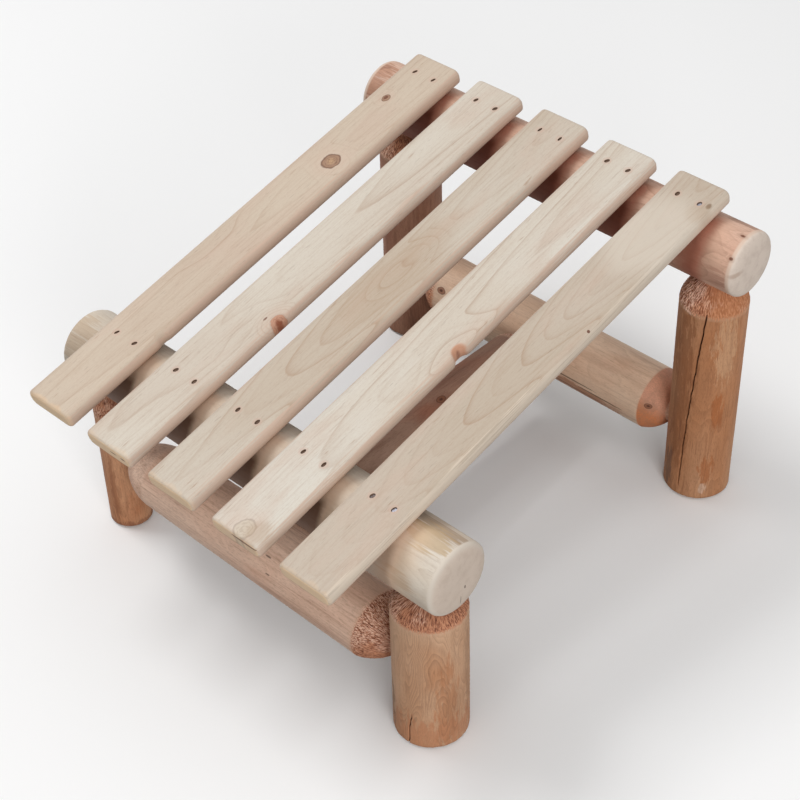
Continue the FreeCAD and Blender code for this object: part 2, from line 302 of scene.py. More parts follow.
def outline(name, stretches):
    """A log's outline as a row of points, from stretches that each end at a radius and a height.

    A stretch with a swell is an arc that stands out so far in its middle.
    """
    points = [Vector((0.0, 0.0, stretches[0]["to"][1]))]
    marks = {"torn": [0.0], "pared": [0.0], "sawn": [stretches[0].get("sawn", 0.0)]}
    for part in stretches:
        radius, height = part["to"]
        end = Vector((radius, 0.0, height))
        start = points[-1]
        count = max(1, round((end - start).length / part["step"]))
        outward = Vector((end.z - start.z, 0.0, start.x - end.x)).normalized() * part.get("swell", 0.0)
        for number in range(1, count + 1):
            share = number / count
            points.append(start.lerp(end, share) + outward * (4 * share * (1 - share)))
            for mark, values in marks.items():
                values.append(part.get(mark, 0.0))
    mesh = bpy.data.meshes.new(name)
    mesh.from_pydata(points, [(number, number + 1) for number in range(len(points) - 1)], [])
    for mark, values in marks.items():
        soft = []
        for number in range(len(values)):
            near = values[max(0, number - mark_blur):number + mark_blur + 1]
            soft.append(sum(near) / len(near))
        mesh.attributes.new(mark, "FLOAT", "POINT").data.foreach_set("value", soft)
    return mesh


def grown(name, base, tree, values):
    """Runs a Geometry Nodes tree on a base mesh and leaves an object with the plain result."""
    piece = bpy.data.objects.new(name, base)
    bpy.context.scene.collection.objects.link(piece)
    modifier = piece.modifiers.new(tree.name, "NODES")
    modifier.node_group = tree
    for item in tree.interface.items_tree:
        if item.in_out == "INPUT" and item.name in values:
            modifier[item.identifier] = values[item.name]
    made = piece.evaluated_get(bpy.context.evaluated_depsgraph_get())
    plain = bpy.data.meshes.new_from_object(made)
    piece.modifiers.remove(modifier)
    piece.data = plain
    bpy.data.meshes.remove(base)
    plain.name = name
    return piece


def tone(red, green, blue):
    """A colour as seen on a screen, from 0 to 255, as the linear colour that a shader takes."""
    return (*Color((red / 255, green / 255, blue / 255)).from_srgb_to_scene_linear(), 1.0)


def mix(share, first, second):
    """One colour laid over another by a share."""
    return wired(share.tree, "ShaderNodeMix", share, first, second, data_type="RGBA")


def placed(tree, shared, values):
    """A shared effect placed in a material with its own values. Returns its outputs by name."""
    node = tree.nodes.new("ShaderNodeGroup")
    node.node_tree = shared
    for name, value in values.items():
        if isinstance(value, Wire):
            tree.links.new(value.socket, node.inputs[name])
        else:
            node.inputs[name].default_value = value
    return {socket.name: Wire(tree, socket) for socket in node.outputs}


def growth_rings_effect():
    """Growth rings about a pith that runs along Z and leans: the thin dark late wood of each ring."""
    sway_size = (14.0, 14.0, 3.0)
    other_sway = (7.3, 1.9, 4.1)
    late_edge = 0.93
    tree, given, leave = open_tree(
        "growth_rings",
        "ShaderNodeTree",
        {
            "Vector": ["Place", "Pith", "Lean"],
            "Float": ["Ring Width", "Sharpness", "Faintest", "Sway", "Push"],
        },
        {"Float": ["Late Wood"]},
    )
    x, y, z = split(given["Place"])
    pith_x, pith_y, _ = split(given["Pith"])
    lean_x, lean_y, _ = split(given["Lean"])
    sway_place = vector_maths("MULTIPLY", given["Place"], sway_size)
    sway_x = (noise(sway_place, 1.0) - 0.5) * given["Sway"]
    sway_y = (noise(vector_maths("ADD", sway_place, other_sway), 1.0) - 0.5) * given["Sway"]
    x = x - pith_x - lean_x * z + sway_x
    y = y - pith_y - lean_y * z + sway_y
    turns = ((x * x + y * y).maths("SQRT") + given["Push"]) / given["Ring Width"]
    ring = turns.maths("FRACT")
    strength = wired(tree, "ShaderNodeTexWhiteNoise", turns.maths("FLOOR"), noise_dimensions="1D")
    strength = strength * (1.0 - given["Faintest"]) + given["Faintest"]
    late = ring.maths("POWER", given["Sharpness"]) * ramp(ring, 1.0, late_edge) * strength
    feed(leave, {"Late Wood": late})
    return tree


def fibre_effect():
    """Fine streaks along the grain, wider bands of tone, dark pores, longer dashes and a fine tooth."""
    kinds = {
        "Streak": {"drawn_out": 0.03, "share": 1.0, "detail": 3.0, "roughness": 0.6},
        "Band": {"drawn_out": 0.03, "share": 0.18, "detail": 2.0, "roughness": 0.5},
        "Pore": {"drawn_out": 0.07, "share": 2.0, "detail": 1.0, "roughness": 0.5, "dark": (0.66, 0.78)},
        "Dash": {"drawn_out": 0.11, "share": 0.55, "detail": 2.0, "roughness": 0.6, "dark": (0.66, 0.76)},
        "Tooth": {"drawn_out": 0.25, "share": 2.6, "detail": 2.0, "roughness": 0.7},
    }
    tree, given, leave = open_tree(
        "fibre", "ShaderNodeTree", {"Vector": ["Place"], "Float": ["Fineness"]}, {"Float": list(kinds)}
    )
    for name, kind in kinds.items():
        long_place = vector_maths("MULTIPLY", given["Place"], (1.0, 1.0, kind["drawn_out"]))
        mark = noise(long_place, given["Fineness"] * kind["share"], kind["detail"], kind["roughness"])
        if "dark" in kind:
            mark = ramp(mark, *kind["dark"])
        feed(leave, {name: mark})
    return tree


def knot_effect():
    """A knot: its body, the dark line round it, fine rings, its checked heart and the wood about it."""
    edge_size = 170.0
    edge_swing = 0.45
    ring_count = 2.6
    ring_size = 260.0
    ring_swing = 0.9
    ring_darkens = (0.45, 0.8)
    ring_ends = (1.0, 0.85)
    ringed = (0.9, 0.6)
    body = (1.02, 0.9)
    rim_from = (0.82, 0.98)
    rim_to = (1.14, 1.02)
    heart = (0.65, 0.2)
    halo = (3.2, 0.7)
    tree, given, leave = open_tree(
        "knot",
        "ShaderNodeTree",
        {"Vector": ["Place", "Centre", "Reach"]},
        {"Float": ["Body", "Rim", "Ring", "Heart", "Halo"]},
    )
    offset = vector_maths("SUBTRACT", given["Place"], given["Centre"])
    offset = vector_maths("DIVIDE", offset, given["Reach"])
    length = other_output(vector_maths("LENGTH", offset), "Value")
    edge = length + (noise(given["Place"], edge_size, detail=3.0) - 0.5) * edge_swing
    uneven = length + (noise(given["Place"], ring_size) - 0.5) * ring_swing
    ring = (uneven * ring_count).maths("FRACT")
    results = {
        "Body": ramp(edge, *body),
        "Rim": ramp(edge, *rim_from) * ramp(edge, *rim_to),
        "Ring": ramp(ring, *ring_darkens) * ramp(ring, *ring_ends) * ramp(edge, *ringed),
        "Heart": ramp(edge, *heart),
        "Halo": ramp(length, *halo),
    }
    feed(leave, results)
    return tree


def torn_cut_effect():
    """End grain torn by the tenon cutter: short pale tufts of fibre over dark gaps, paler on one side."""
    stroke_turn = 58.0
    stroke_run = 360.0
    stroke_roughness = 0.6
    stroke_share = 0.55
    stroke = (0.48, 0.56)
    gap = (0.49, 0.4)
    patch_size = 42.0
    patch = (0.36, 0.56)
    pale_side = 0.2
    right_side = (0.0, 0.6)
    tiny = 0.0001
    tree, given, leave = open_tree(
        "torn_cut",
        "ShaderNodeTree",
        {"Vector": ["Place"], "Float": ["Tuft", "Fineness"]},
        {"Float": ["Stroke", "Gap", "Patch", "Grain", "Right"]},
    )
    x, y, z = split(given["Place"])
    radius = (x * x + y * y).maths("SQRT").maths("MAXIMUM", tiny)
    right = x / radius
    fine_place = join(tree, right * stroke_turn, (y / radius) * stroke_turn, z * stroke_run)
    grain = noise(fine_place, given["Fineness"], roughness=stroke_roughness) * stroke_share
    grain = grain + given["Tuft"] * (1.0 - stroke_share)
    results = {
        "Stroke": ramp(grain, *stroke),
        "Gap": ramp(grain, *gap),
        "Patch": ramp(noise(given["Place"], patch_size) - right * pale_side, *patch),
        "Grain": grain,
        "Right": ramp(right, *right_side),
    }
    feed(leave, results)
    return tree


growth_rings = growth_rings_effect()
fibre = fibre_effect()
knot = knot_effect()
torn_cut = torn_cut_effect()
peeled_log = peeled_log_tree()


def attribute(tree, name, output="Fac"):
    """A value that a piece's mesh carries."""
    node = tree.nodes.new("ShaderNodeAttribute")
    node.attribute_name = name
    return Wire(tree, node.outputs[output])


def knot_at(place, centre, reach):
    """The knot effect with its middle at a place on a piece."""
    return placed(place.tree, knot, {"Place": place, "Centre": centre, "Reach": reach})


def new_material(name):
    """An empty material, its tree and its shader."""
    material = bpy.data.materials.new(name)
    material.use_nodes = True
    tree = material.node_tree
    return material, tree, tree.nodes["Principled BSDF"]


def wood_finish(shader, colour, roughness, height, bump_strength, bump_height):
    """Gives a shader the colour, dull shine and fine relief of bare wood."""
    shine = 0.3
    bump = wired(colour.tree, "ShaderNodeBump", bump_strength, bump_height, None, height)
    feed(shader, {"Base Color": colour, "Roughness": roughness, "Normal": bump})
    shader.inputs["Specular IOR Level"].default_value = shine


def light_and_shade_by_slats(colour, look, log_place, ragged):
    """Painted light and shade on a rail's front about the slats: a warm lit tan in the gaps, a fringe
    beside each slat that is partly reddish wood and partly painted shade, and painted shade under them.
    """
    front_lower = (0.63, -0.78)
    raggedness = 0.3
    fringe_reach = 0.014
    gap_reach = 0.036
    gap_soft = 0.004
    painted_shade_soft = 0.006
    painted_shade_side = (-0.004, 0.010)
    front = (0.012, -0.006)
    painted_shade_strength = 0.9
    painted_gap_light_strength = look.get("painted_gap_light_strength", 0.6)
    fringe_tint_and_shade_strength = look.get("fringe_tint_and_shade_strength", 0.3)
    side_x, side_y, along = split(log_place)
    ragged = ragged * raggedness
    lower = ramp(side_x * front_lower[0] + side_y * front_lower[1] + ragged, *painted_shade_side)
    fronting = ramp(side_y, *front)
    # Each gap gets a warm painted light, the fringe a reddish tint with painted shade, and the front under
    # each slat painted shade.
    for left, right, share in look.get("slats", []):
        off_slat = along - right + ragged
        beside = ramp(off_slat, -gap_reach, -gap_soft) * ramp(off_slat, gap_reach, gap_soft) * fronting
        colour = mix(beside * painted_gap_light_strength, colour, look["painted_gap_light"])
        colour = mix(ramp(off_slat, fringe_reach, 0.0) * beside * fringe_tint_and_shade_strength, colour, look["fringe_tint_and_shade"])
        hidden = ramp(off_slat, gap_soft, -painted_shade_soft) * ramp(along, left - gap_soft, left + gap_soft)
        colour = mix(hidden * lower * painted_shade_strength * share, colour, look["painted_shade"])
    return colour


def cut_ends(colour, look, log_place, place, ragged, tooth):
    """Ends that are sawn and sanded, or pared smooth with a knife."""
    mottle_size = 90.0
    mottled = (0.4, 0.7)
    mottle_strength = 0.14
    tooth_shows = (0.5, 0.8)
    tooth_strength = 0.1
    pared_side = (0.010, 0.036)
    pared_mottle_roughness = 0.7
    pared_mottled = (0.4, 0.65)
    pared_mottle_strength = 0.35
    pared_tooth_shows = (0.4, 0.7)
    pared_tooth_strength = 0.45
    pared_area = (0.3, 0.7)
    ridge_area = (0.28, 0.46)
    sawn_area = (0.5, 1.0)
    stain_swing = 40.0
    stained = (0.1, 1.1)
    tree = place.tree
    sawn = attribute(tree, "sawn")
    side_x, side_y, _ = split(log_place)
    mottle = ramp(noise(place, mottle_size, detail=4.0, roughness=0.6), *mottled) * mottle_strength
    mottle = mottle + ramp(tooth, *tooth_shows) * tooth_strength
    end_grain = mix(mottle, look["sanded"], look["grain"])
    low_side = ramp(side_x - side_y + ragged, *pared_side)
    pared_wood = mix(low_side, look.get("pared", look["pale"]), look.get("pared_low", look["warm"]))
    mottle = ramp(noise(place, mottle_size, detail=4.0, roughness=pared_mottle_roughness), *pared_mottled)
    pared_wood = mix(mottle * pared_mottle_strength, pared_wood, look["grain"])
    pared_wood = mix(ramp(tooth, *pared_tooth_shows) * pared_tooth_strength, pared_wood, look["grain"])
    colour = mix(ramp(attribute(tree, "pared"), *pared_area), colour, pared_wood)
    colour = mix(ramp(sawn, *ridge_area), colour, look.get("ridge", look["sanded"]))
    colour = mix(ramp(sawn, *sawn_area), colour, end_grain)
    for mark, stain, strength in look.get("end_stains", []):
        spread = knot_at(log_place, *mark)["Halo"] + ragged * stain_swing
        colour = mix(ramp(spread, *stained) * strength, colour, stain)
    return colour


def torn_cone(colour, look, place, torn):
    """Lays the torn wood of a cone over a log's colour. Returns the colour and the tufts' height."""
    tuft_pale = look.get("tuft_pale", tone(226, 186, 162))
    tuft_orange = look.get("tuft_orange", tone(204, 146, 112))
    gap_colour = look.get("torn_gap", tone(96, 56, 42))
    smooth_cut = tone(196, 130, 86)
    torn_colour = tone(172, 112, 84)
    rim_colour = tone(214, 178, 150)
    rim = (0.02, 0.3)
    rim_strength = 0.3
    edge_swing = 2.4
    torn_from = (0.25, 0.5)
    torn_limit = (0.02, 0.2)
    tuft = attribute(place.tree, "tuft")
    fineness = look.get("torn_fineness", 1.0)
    cut = placed(place.tree, torn_cut, {"Place": place, "Tuft": tuft, "Fineness": fineness})
    wood = mix(cut["Stroke"], torn_colour, mix(cut["Patch"], tuft_orange, tuft_pale))
    # The dark gaps between the tufts are partly the torn wood's dark tone and partly painted shade in the
    # hollows.
    wood = mix(cut["Gap"], wood, gap_colour)
    wood = mix(cut["Right"] * look.get("smooth_side", 0.0), wood, smooth_cut)
    edge = torn + (cut["Grain"] - 0.5) * edge_swing
    colour = mix(ramp(torn, *rim) * rim_strength, colour, rim_colour)
    colour = mix(ramp(edge, *torn_from) * ramp(torn, *torn_limit), colour, wood)
    return colour, torn * cut["Grain"]


def log_wood(name, look, grain_from):
    """Peeled log: blotches of pale, warm and reddish wood, contour grain, stains, knots and torn cones."""
    figure = look.get("figure", 1.0)
    ring_width = look.get("ring_width", 0.0007)
    ring_sharpness = look.get("ring_sharpness", 1.4)
    ring_faintest = 0.8
    ring_sway = 0.020
    bump_size = (26.0, 26.0, look.get("bump_run", 5.0))
    bump_push = 0.007
    crack_push = 0.001
    knot_push = 0.006
    streak_fineness = 330.0
    blotch_size = (20.0, 20.0, 6.0)
    blotched = (0.35, 0.65)
    blush_size = (17.0, 17.0, 8.0)
    blush_offset = (3.1, 0.0, 0.0)
    blushed = (0.62 - look["blush_share"], 0.8)
    patch_size = (240.0, 240.0, look.get("patch_run", 50.0))
    patch_swing = 3.6
    patched = (0.3, 0.8)
    patch_limit = (0.0, 0.3)
    stain_size = (60.0, 60.0, 9.0)
    stained = (0.54, 0.74)
    zone_size = (26.0, 26.0, 12.0)
    zoned = (0.4, 0.62)
    zone_swing = 0.75
    band_shows = (0.5, 0.75)
    streak_shows = (0.45, 0.8)
    tooth_shows = (0.45, 0.75)
    fringe_size = (70.0, 70.0, 40.0)
    fringe_swing = 0.03
    crack_shows = (0.2, 0.7)
    band_strength = 0.3 * figure
    stain_strength = 0.35 * figure
    contour_strength = look.get("contours", 0.36)
    streak_strength = look.get("streaks", 0.3)
    tooth_strength = 0.35 * figure
    dash_strength = 0.45 * figure
    pore_strength = 0.25 * figure
    knot_dark = tone(74, 42, 30)
    knot_parts = {"Body": (0.8, tone(128, 78, 54)), "Rim": (0.7, knot_dark), "Heart": (0.9, knot_dark)}
    halo_strength = 0.3
    crack_colour = tone(66, 42, 31)
    small_crack_strength = 0.7
    dullness = 0.56
    streak_dulls = 0.2
    torn_dulls = 0.15
    streak_height = 0.4
    contour_height = 0.3
    tuft_height = 2.0
    dash_depth = 0.4
    bump_strength = 0.5
    bump_height = 0.0006
    grain = look["grain"]
    material, tree, shader = new_material(name)
    log_place = attribute(tree, "log_place", "Vector")
    crack = attribute(tree, "crack")
    torn = attribute(tree, "torn")
    place = vector_maths("ADD", log_place, (0.0, 0.0, grain_from))
    streaks = placed(tree, fibre, {"Place": place, "Fineness": streak_fineness})
    marks = [knot_at(log_place, *mark) for mark in look.get("knots", [])]
    push = crack * crack_push + (cloud(place, bump_size) - 0.5) * bump_push
    for mark in marks:
        push = push + mark["Halo"] * knot_push
    rings = placed(
        tree,
        growth_rings,
        {
            "Place": place,
            "Ring Width": ring_width,
            "Sharpness": ring_sharpness,
            "Faintest": ring_faintest,
            "Sway": ring_sway,
            "Push": push,
        },
    )
    colour = mix(ramp(cloud(place, blotch_size, detail=3.0), *blotched), look["pale"], look["warm"])
    blush_place = vector_maths("ADD", place, blush_offset)
    colour = mix(ramp(cloud(blush_place, blush_size, detail=3.0), *blushed), colour, look["blush"])
    for mark, patch, strength in look.get("patches", []):
        halo = knot_at(log_place, *mark)["Halo"]
        spread = halo + (cloud(place, patch_size, detail=4.0, roughness=0.65) - 0.5) * patch_swing
        colour = mix(ramp(spread, *patched) * ramp(halo, *patch_limit) * strength, colour, patch)
    stain = ramp(cloud(place, stain_size, detail=4.0, roughness=0.65), *stained)
    zone = ramp(cloud(place, zone_size), *zoned)
    contours = rings["Late Wood"] * (zone * zone_swing + (1.0 - zone_swing))
    for share, strength in (
        (ramp(streaks["Band"], *band_shows), band_strength),
        (stain, stain_strength),
        (contours, contour_strength),
        (ramp(streaks["Streak"], *streak_shows), streak_strength),
        (ramp(streaks["Tooth"], *tooth_shows), tooth_strength),
        (streaks["Dash"], dash_strength),
    ):
        colour = mix(share * strength, colour, grain)
    colour = mix(streaks["Pore"] * pore_strength, colour, knot_dark)

    ragged = (cloud(place, fringe_size, detail=4.0, roughness=0.6) - 0.5) * fringe_swing
    colour = light_and_shade_by_slats(colour, look, log_place, ragged)
    colour = cut_ends(colour, look, log_place, place, ragged, streaks["Tooth"])
    colour, tufts = torn_cone(colour, look, place, torn)
    for mark in marks:
        colour = mix(mark["Halo"] * halo_strength, colour, grain)
        for part, (strength, part_colour) in knot_parts.items():
            colour = mix(mark[part] * strength, colour, part_colour)
    for mark in look.get("cracks", []):
        colour = mix(knot_at(log_place, *mark)["Body"] * small_crack_strength, colour, crack_colour)
    colour = mix(ramp(crack, *crack_shows), colour, crack_colour)

    roughness = dullness + streaks["Streak"] * streak_dulls + torn * torn_dulls
    height = streaks["Streak"] * streak_height + contours * contour_height + tufts * tuft_height
    height = height - streaks["Dash"] * dash_depth
    wood_finish(shader, colour, roughness, height, bump_strength, bump_height)
    return material


def log_piece(name, stretches, start, direction, look, seed):
    """One log of the frame, in the place of its solid."""
    values = {
        "Sides": log_sides,
        "Start": tuple(start),
        "Turn": tuple(Vector((0.0, 0.0, 1.0)).rotation_difference(direction).to_euler()),
        "Seed": seed,
        "Wave Depth": wave_depth,
        "Ripple Depth": ripple_depth,
        "Ripple Pitch": ripple_pitch,
        "Tuft Depth": tuft_depth,
        "Material": log_wood(name + "_wood", look, seed),
        **look.get("shape", {}),
    }
    log = grown(name, outline(name, stretches), peeled_log, values)
    log.data.set_sharp_from_angle(angle=log_crease)
    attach(log, "root")
    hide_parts(name)


def on_log(angle, along, radius, width, length):
    """A mark on a log's side, by its angle about the log and its place along it."""
    turn = math.radians(angle)
    return (radius * math.cos(turn), radius * math.sin(turn), along), (width, width, length)


def drying_crack(depth, width, reach, angles):
    """An open crack along a log, from one height and angle to another."""
    crowding = 0.82
    return {
        "Crack Depth": depth,
        "Crack Width": width,
        "Crack Crowding": crowding,
        "Crack From": reach[0],
        "Crack To": reach[1],
        "Crack Angle From": math.radians(angles[0]),
        "Crack Angle To": math.radians(angles[1]),
    }


def leg_axis(node):
    """Where a leg's axis meets the floor, and the leg's radius."""
    low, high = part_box(node)
    return feet[node.replace("leg", "foot")], (high.x - low.x) / 2


feet = {mount["name"]: Vector(mount["pos_m"]) for mount in frame["record"]["mounts"]}
leg_looks = {
    "leg_front_left": {
        "rail": "front_rail",
        "cone": front_left_leg_cone,
        "tenon": thin_leg_tenon,
        "pale": tone(212, 158, 120),
        "warm": tone(194, 134, 94),
        "blush": tone(182, 114, 74),
        "blush_share": 0.1,
        "grain": tone(118, 72, 48),
        "sanded": tone(190, 150, 120),
        "patches": [
            (on_log(-20, 0.090, 0.024, 0.0030, 0.030), tone(204, 150, 112), 0.5),
            (on_log(-75, 0.060, 0.024, 0.0020, 0.030), tone(146, 88, 58), 0.45),
            (on_log(-125, 0.070, 0.024, 0.0030, 0.012), tone(112, 72, 50), 0.6),
            (on_log(-60, 0.000, 0.024, 0.0500, 0.004), tone(136, 84, 60), 0.6),
        ],
    },
    "leg_front_right": {
        "rail": "front_rail",
        "cone": front_right_leg_cone,
        "tenon": thick_leg_tenon,
        "pale": tone(214, 174, 142),
        "warm": tone(198, 152, 118),
        "blush": tone(188, 130, 90),
        "blush_share": 0.06,
        "grain": tone(120, 84, 60),
        "sanded": tone(196, 158, 128),
        "bump_run": 10.0,
        "ring_width": 0.00034,
        "contours": 0.45,
        "figure": 0.6,
        "streaks": 0.15,
        "patches": [
            (on_log(-22, 0.055, 0.038, 0.0060, 0.034), tone(184, 120, 78), 0.5),
            (on_log(-45, 0.000, 0.038, 0.060, 0.020), tone(194, 130, 92), 0.65),
            (on_log(24, 0.100, 0.038, 0.004, 0.030), tone(136, 102, 74), 0.25),
            (on_log(-122, 0.040, 0.038, 0.003, 0.014), tone(100, 78, 62), 0.6),
        ],
        "shape": {"Ripple Depth": 0.0004, **drying_crack(0.005, 0.0006, (-0.02, 0.05), (-85, -77))},
    },
    "leg_back_left": {
        "rail": "back_rail",
        "cone": back_leg_cone,
        "tenon": thick_leg_tenon,
        # These colours are darker than the other legs': partly the log's own tone and partly painted shade
        # from under the slats.
        "pale": tone(176, 130, 106),
        "warm": tone(156, 108, 84),
        "blush": tone(144, 86, 60),
        "blush_share": 0.1,
        "grain": tone(96, 60, 44),
        "sanded": tone(180, 140, 112),
    },
    "leg_back_right": {
        "rail": "back_rail",
        "cone": back_leg_cone,
        "tenon": thick_leg_tenon,
        "pale": tone(206, 154, 116),
        "warm": tone(190, 132, 92),
        "blush": tone(190, 122, 76),
        "blush_share": 0.1,
        "grain": tone(126, 80, 52),
        "sanded": tone(206, 160, 124),
        "smooth_side": 0.65,
        "torn_fineness": 0.55,
        # These tufts are paler than the other legs': partly their own pale colour and partly painted light
        # on the cone's shaded left side.
        "tuft_pale": tone(252, 212, 188),
        "tuft_orange": tone(232, 170, 134),
        "torn_gap": tone(136, 78, 56),
        "patches": [
            (on_log(-33, 0.123, 0.037, 0.0035, 0.012), tone(174, 100, 52), 0.7),
            (on_log(-44, 0.046, 0.037, 0.0045, 0.009), tone(178, 106, 60), 0.7),
            (on_log(-46, 0.016, 0.037, 0.0025, 0.003), tone(222, 184, 158), 0.8),
            (on_log(-30, 0.210, 0.037, 0.0070, 0.022), tone(214, 168, 130), 0.7),
            (on_log(-100, 0.150, 0.037, 0.0070, 0.060), tone(146, 92, 58), 0.6),
            (on_log(-118, 0.030, 0.037, 0.0040, 0.014), tone(116, 92, 78), 0.7),
        ],
        "shape": drying_crack(0.007, 0.00065, (0.010, 0.275), (-89, -64)),
    },
}
for number, (name, look) in enumerate(leg_looks.items()):
    foot, radius = leg_axis(name)
    low = -radius * math.tan(leg_lean)
    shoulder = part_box(look["rail"])[0].z / up_leg.z
    top = shoulder + leg_tenon_length
    leg_outline = [
        {"to": (radius - foot_bevel, low), "step": hidden_step, "sawn": 1.0},
        {"to": (radius, low + foot_bevel), "step": cone_step, "sawn": half_sawn},
        {"to": (radius, shoulder - look["cone"]), "step": body_step},
        {"to": (look["tenon"], shoulder), "step": cone_step, "torn": 1.0, "swell": cone_bulge},
        {"to": (look["tenon"], top), "step": hidden_step},
        {"to": (0.0, top), "step": hidden_step, "sawn": 1.0},
    ]
    log_piece(name, leg_outline, foot, up_leg, look, first_leg_seed + number)

# Stretchers: three thick peeled logs low down, across the front, across the back and down the middle.
# Long torn cones lead to round tenons, which are glued into bored holes in the legs and cross logs.
# The front one's left end is pared smooth where it meets the thin leg.
front_stretcher_radii = (0.0355, 0.038)
back_stretcher_radii = (0.03725, 0.03725)
centre_stretcher_radii = (0.036, 0.036)
front_stretcher_heights = (0.0985, 0.086)
back_stretcher_heights = (0.082, 0.082)
centre_stretcher_shift = -0.007
cone_clearance = 0.0005
thick_end = {"bulge": cone_bulge, "tenon": 0.017, "tenon_length": 0.042}
thin_leg_end = {"cone": 0.045, "cut": "pared", "bulge": 0.005, "tenon": 0.012, "tenon_length": 0.030}
front_right_end = {"cone": 0.032, "cut": "torn", **thick_end}
back_left_end = {"cone": 0.025, "cut": "torn", **thick_end}
back_right_end = {"cone": 0.025, "cut": "pared", **thick_end}
centre_end = {"cone": 0.020, "cut": "torn", **thick_end}
front_stretcher_seed = 6.0
back_stretcher_seed = 7.0
centre_stretcher_seed = 8.0
sanded_end = tone(204, 187, 168)


def stretcher_outline(radii, span, ends):
    """A log between two others, with a rounded cone and a tenon at each end."""
    first, last = ends
    low = -first["tenon_length"]
    high = span + last["tenon_length"]
    first_cone = {"step": cone_step, "swell": first["bulge"], first["cut"]: 1.0}
    last_cone = {"step": cone_step, "swell": last["bulge"], last["cut"]: 1.0}
    return [
        {"to": (first["tenon"], low), "step": hidden_step, "sawn": 1.0},
        {"to": (first["tenon"], cone_clearance), "step": hidden_step},
        {"to": (radii[0], first["cone"]), **first_cone},
        {"to": (radii[1], span - last["cone"]), "step": body_step},
        {"to": (last["tenon"], span - cone_clearance), **last_cone},
        {"to": (last["tenon"], high), "step": hidden_step},
        {"to": (0.0, high), "step": hidden_step, "sawn": 1.0},
    ]


def cross_stretcher(name, legs, heights, radii, ends, look, seed):
    """A stretcher from one leg's axis to another's. Returns the middle of its axis and its radius there."""
    left, left_radius = leg_axis(legs[0])
    right, right_radius = leg_axis(legs[1])
    left = left + up_leg * (heights[0] / up_leg.z)
    right = right + up_leg * (heights[1] / up_leg.z)
    run = (right - left).normalized()
    start = left + run * left_radius
    end = right - run * right_radius
    log_piece(name, stretcher_outline(radii, (end - start).length, ends), start, run, look, seed)
    share = (centre_stretcher_shift - start.x) / (end.x - start.x)
    return start.lerp(end, share), radii[0] + (radii[1] - radii[0]) * share


front_middle, front_radius = cross_stretcher(
    "front_stretcher",
    ("leg_front_left", "leg_front_right"),
    front_stretcher_heights,
    front_stretcher_radii,
    (thin_leg_end, front_right_end),
    {
        "pale": tone(232, 200, 178),
        "warm": tone(222, 184, 160),
        "blush": tone(214, 164, 138),
        "blush_share": 0.06,
        "grain": tone(150, 108, 86),
        "contours": 0.2,
        "streaks": 0.5,
        "sanded": sanded_end,
        "cracks": [
            on_log(-137, 0.228, 0.0367, 0.0009, 0.0040),
            on_log(-111, 0.235, 0.0367, 0.0009, 0.0030),
        ],
    },
    front_stretcher_seed,
)
back_middle, back_radius = cross_stretcher(
    "back_stretcher",
    ("leg_back_left", "leg_back_right"),
    back_stretcher_heights,
    back_stretcher_radii,
    (back_left_end, back_right_end),
    {
        "pale": tone(236, 208, 182),
        "warm": tone(224, 190, 162),
        "blush": tone(214, 170, 140),
        "blush_share": 0.06,
        "grain": tone(160, 120, 96),
        "pared": tone(210, 152, 124),
        "pared_low": tone(208, 128, 82),
        "figure": 0.7,
        "contours": 0.2,
        "sanded": sanded_end,
        "knots": [
            on_log(-113, 0.341, 0.032, 0.0030, 0.0060),
            on_log(-121, 0.0385, 0.037, 0.0040, 0.0060),
        ],
        "patches": [(on_log(-64, 0.235, 0.037, 0.0060, 0.033), tone(176, 118, 86), 0.75)],
        "cracks": [
            on_log(-88, 0.225, 0.037, 0.0011, 0.055),
            on_log(-80, 0.280, 0.037, 0.0010, 0.034),
            on_log(-66, 0.230, 0.037, 0.0009, 0.080),
        ],
    },
    back_stretcher_seed,
)
backward = (back_middle - front_middle).normalized()
centre_span = (back_middle - front_middle).length - front_radius - back_radius
log_piece(
    "centre_stretcher",
    stretcher_outline(centre_stretcher_radii, centre_span, (centre_end, centre_end)),
    front_middle + backward * front_radius,
    backward,
    {
        # These colours are darker than the other stretchers': partly the log's own tone and partly painted
        # shade from under the slats.
        "pale": tone(180, 146, 126),
        "warm": tone(160, 122, 102),
        "blush": tone(164, 104, 80),
        "blush_share": 0.1,
        "grain": tone(108, 74, 58),
        "sanded": sanded_end,
        "knots": [on_log(-74, 0.224, 0.036, 0.0040, 0.0060)],
    },
    centre_stretcher_seed,
)

# Rails: two peeled logs across the front and back that carry the slats.
# Their ends are sawn square, and then rounded over and sanded smooth.
rail_end_depth = 0.010
rail_end_squareness = 3.5
rail_end_steps = 24
rail_end_sanding = 0.00002
# The painted shade under the last slat is laid on at this share.
last_slat_painted_shade = 0.5
first_rail_seed = 9.0


def rail_outline(radius, length, ridge_from):
    """A log whose sanded ends are almost flat in the middle and bend over more and more to the side."""
    power = 2 / rail_end_squareness
    left_end = []
    for number in range(1, rail_end_steps + 1):
        turn = math.radians(90) * number / rail_end_steps
        reach = radius * math.sin(turn) ** power
        bend = 1 - max(0.0, math.cos(turn)) ** power
        left_end.append({"to": (reach, rail_end_depth * bend), "step": body_step, "bend": bend})
    stretches = [{**part, "sawn": 1.0 if part["bend"] < ridge_from else 0.0} for part in left_end]
    stretches.append({"to": (radius, length - rail_end_depth), "step": body_step})
    for part in reversed(left_end[:-1]):
        reach, depth = part["to"]
        sawn = 1.0 if part["bend"] < ridge_from else half_sawn
        stretches.append({**part, "to": (reach, length - depth), "sawn": sawn})
    stretches.append({"to": (0.0, length), "step": body_step, "sawn": 1.0})
    return stretches


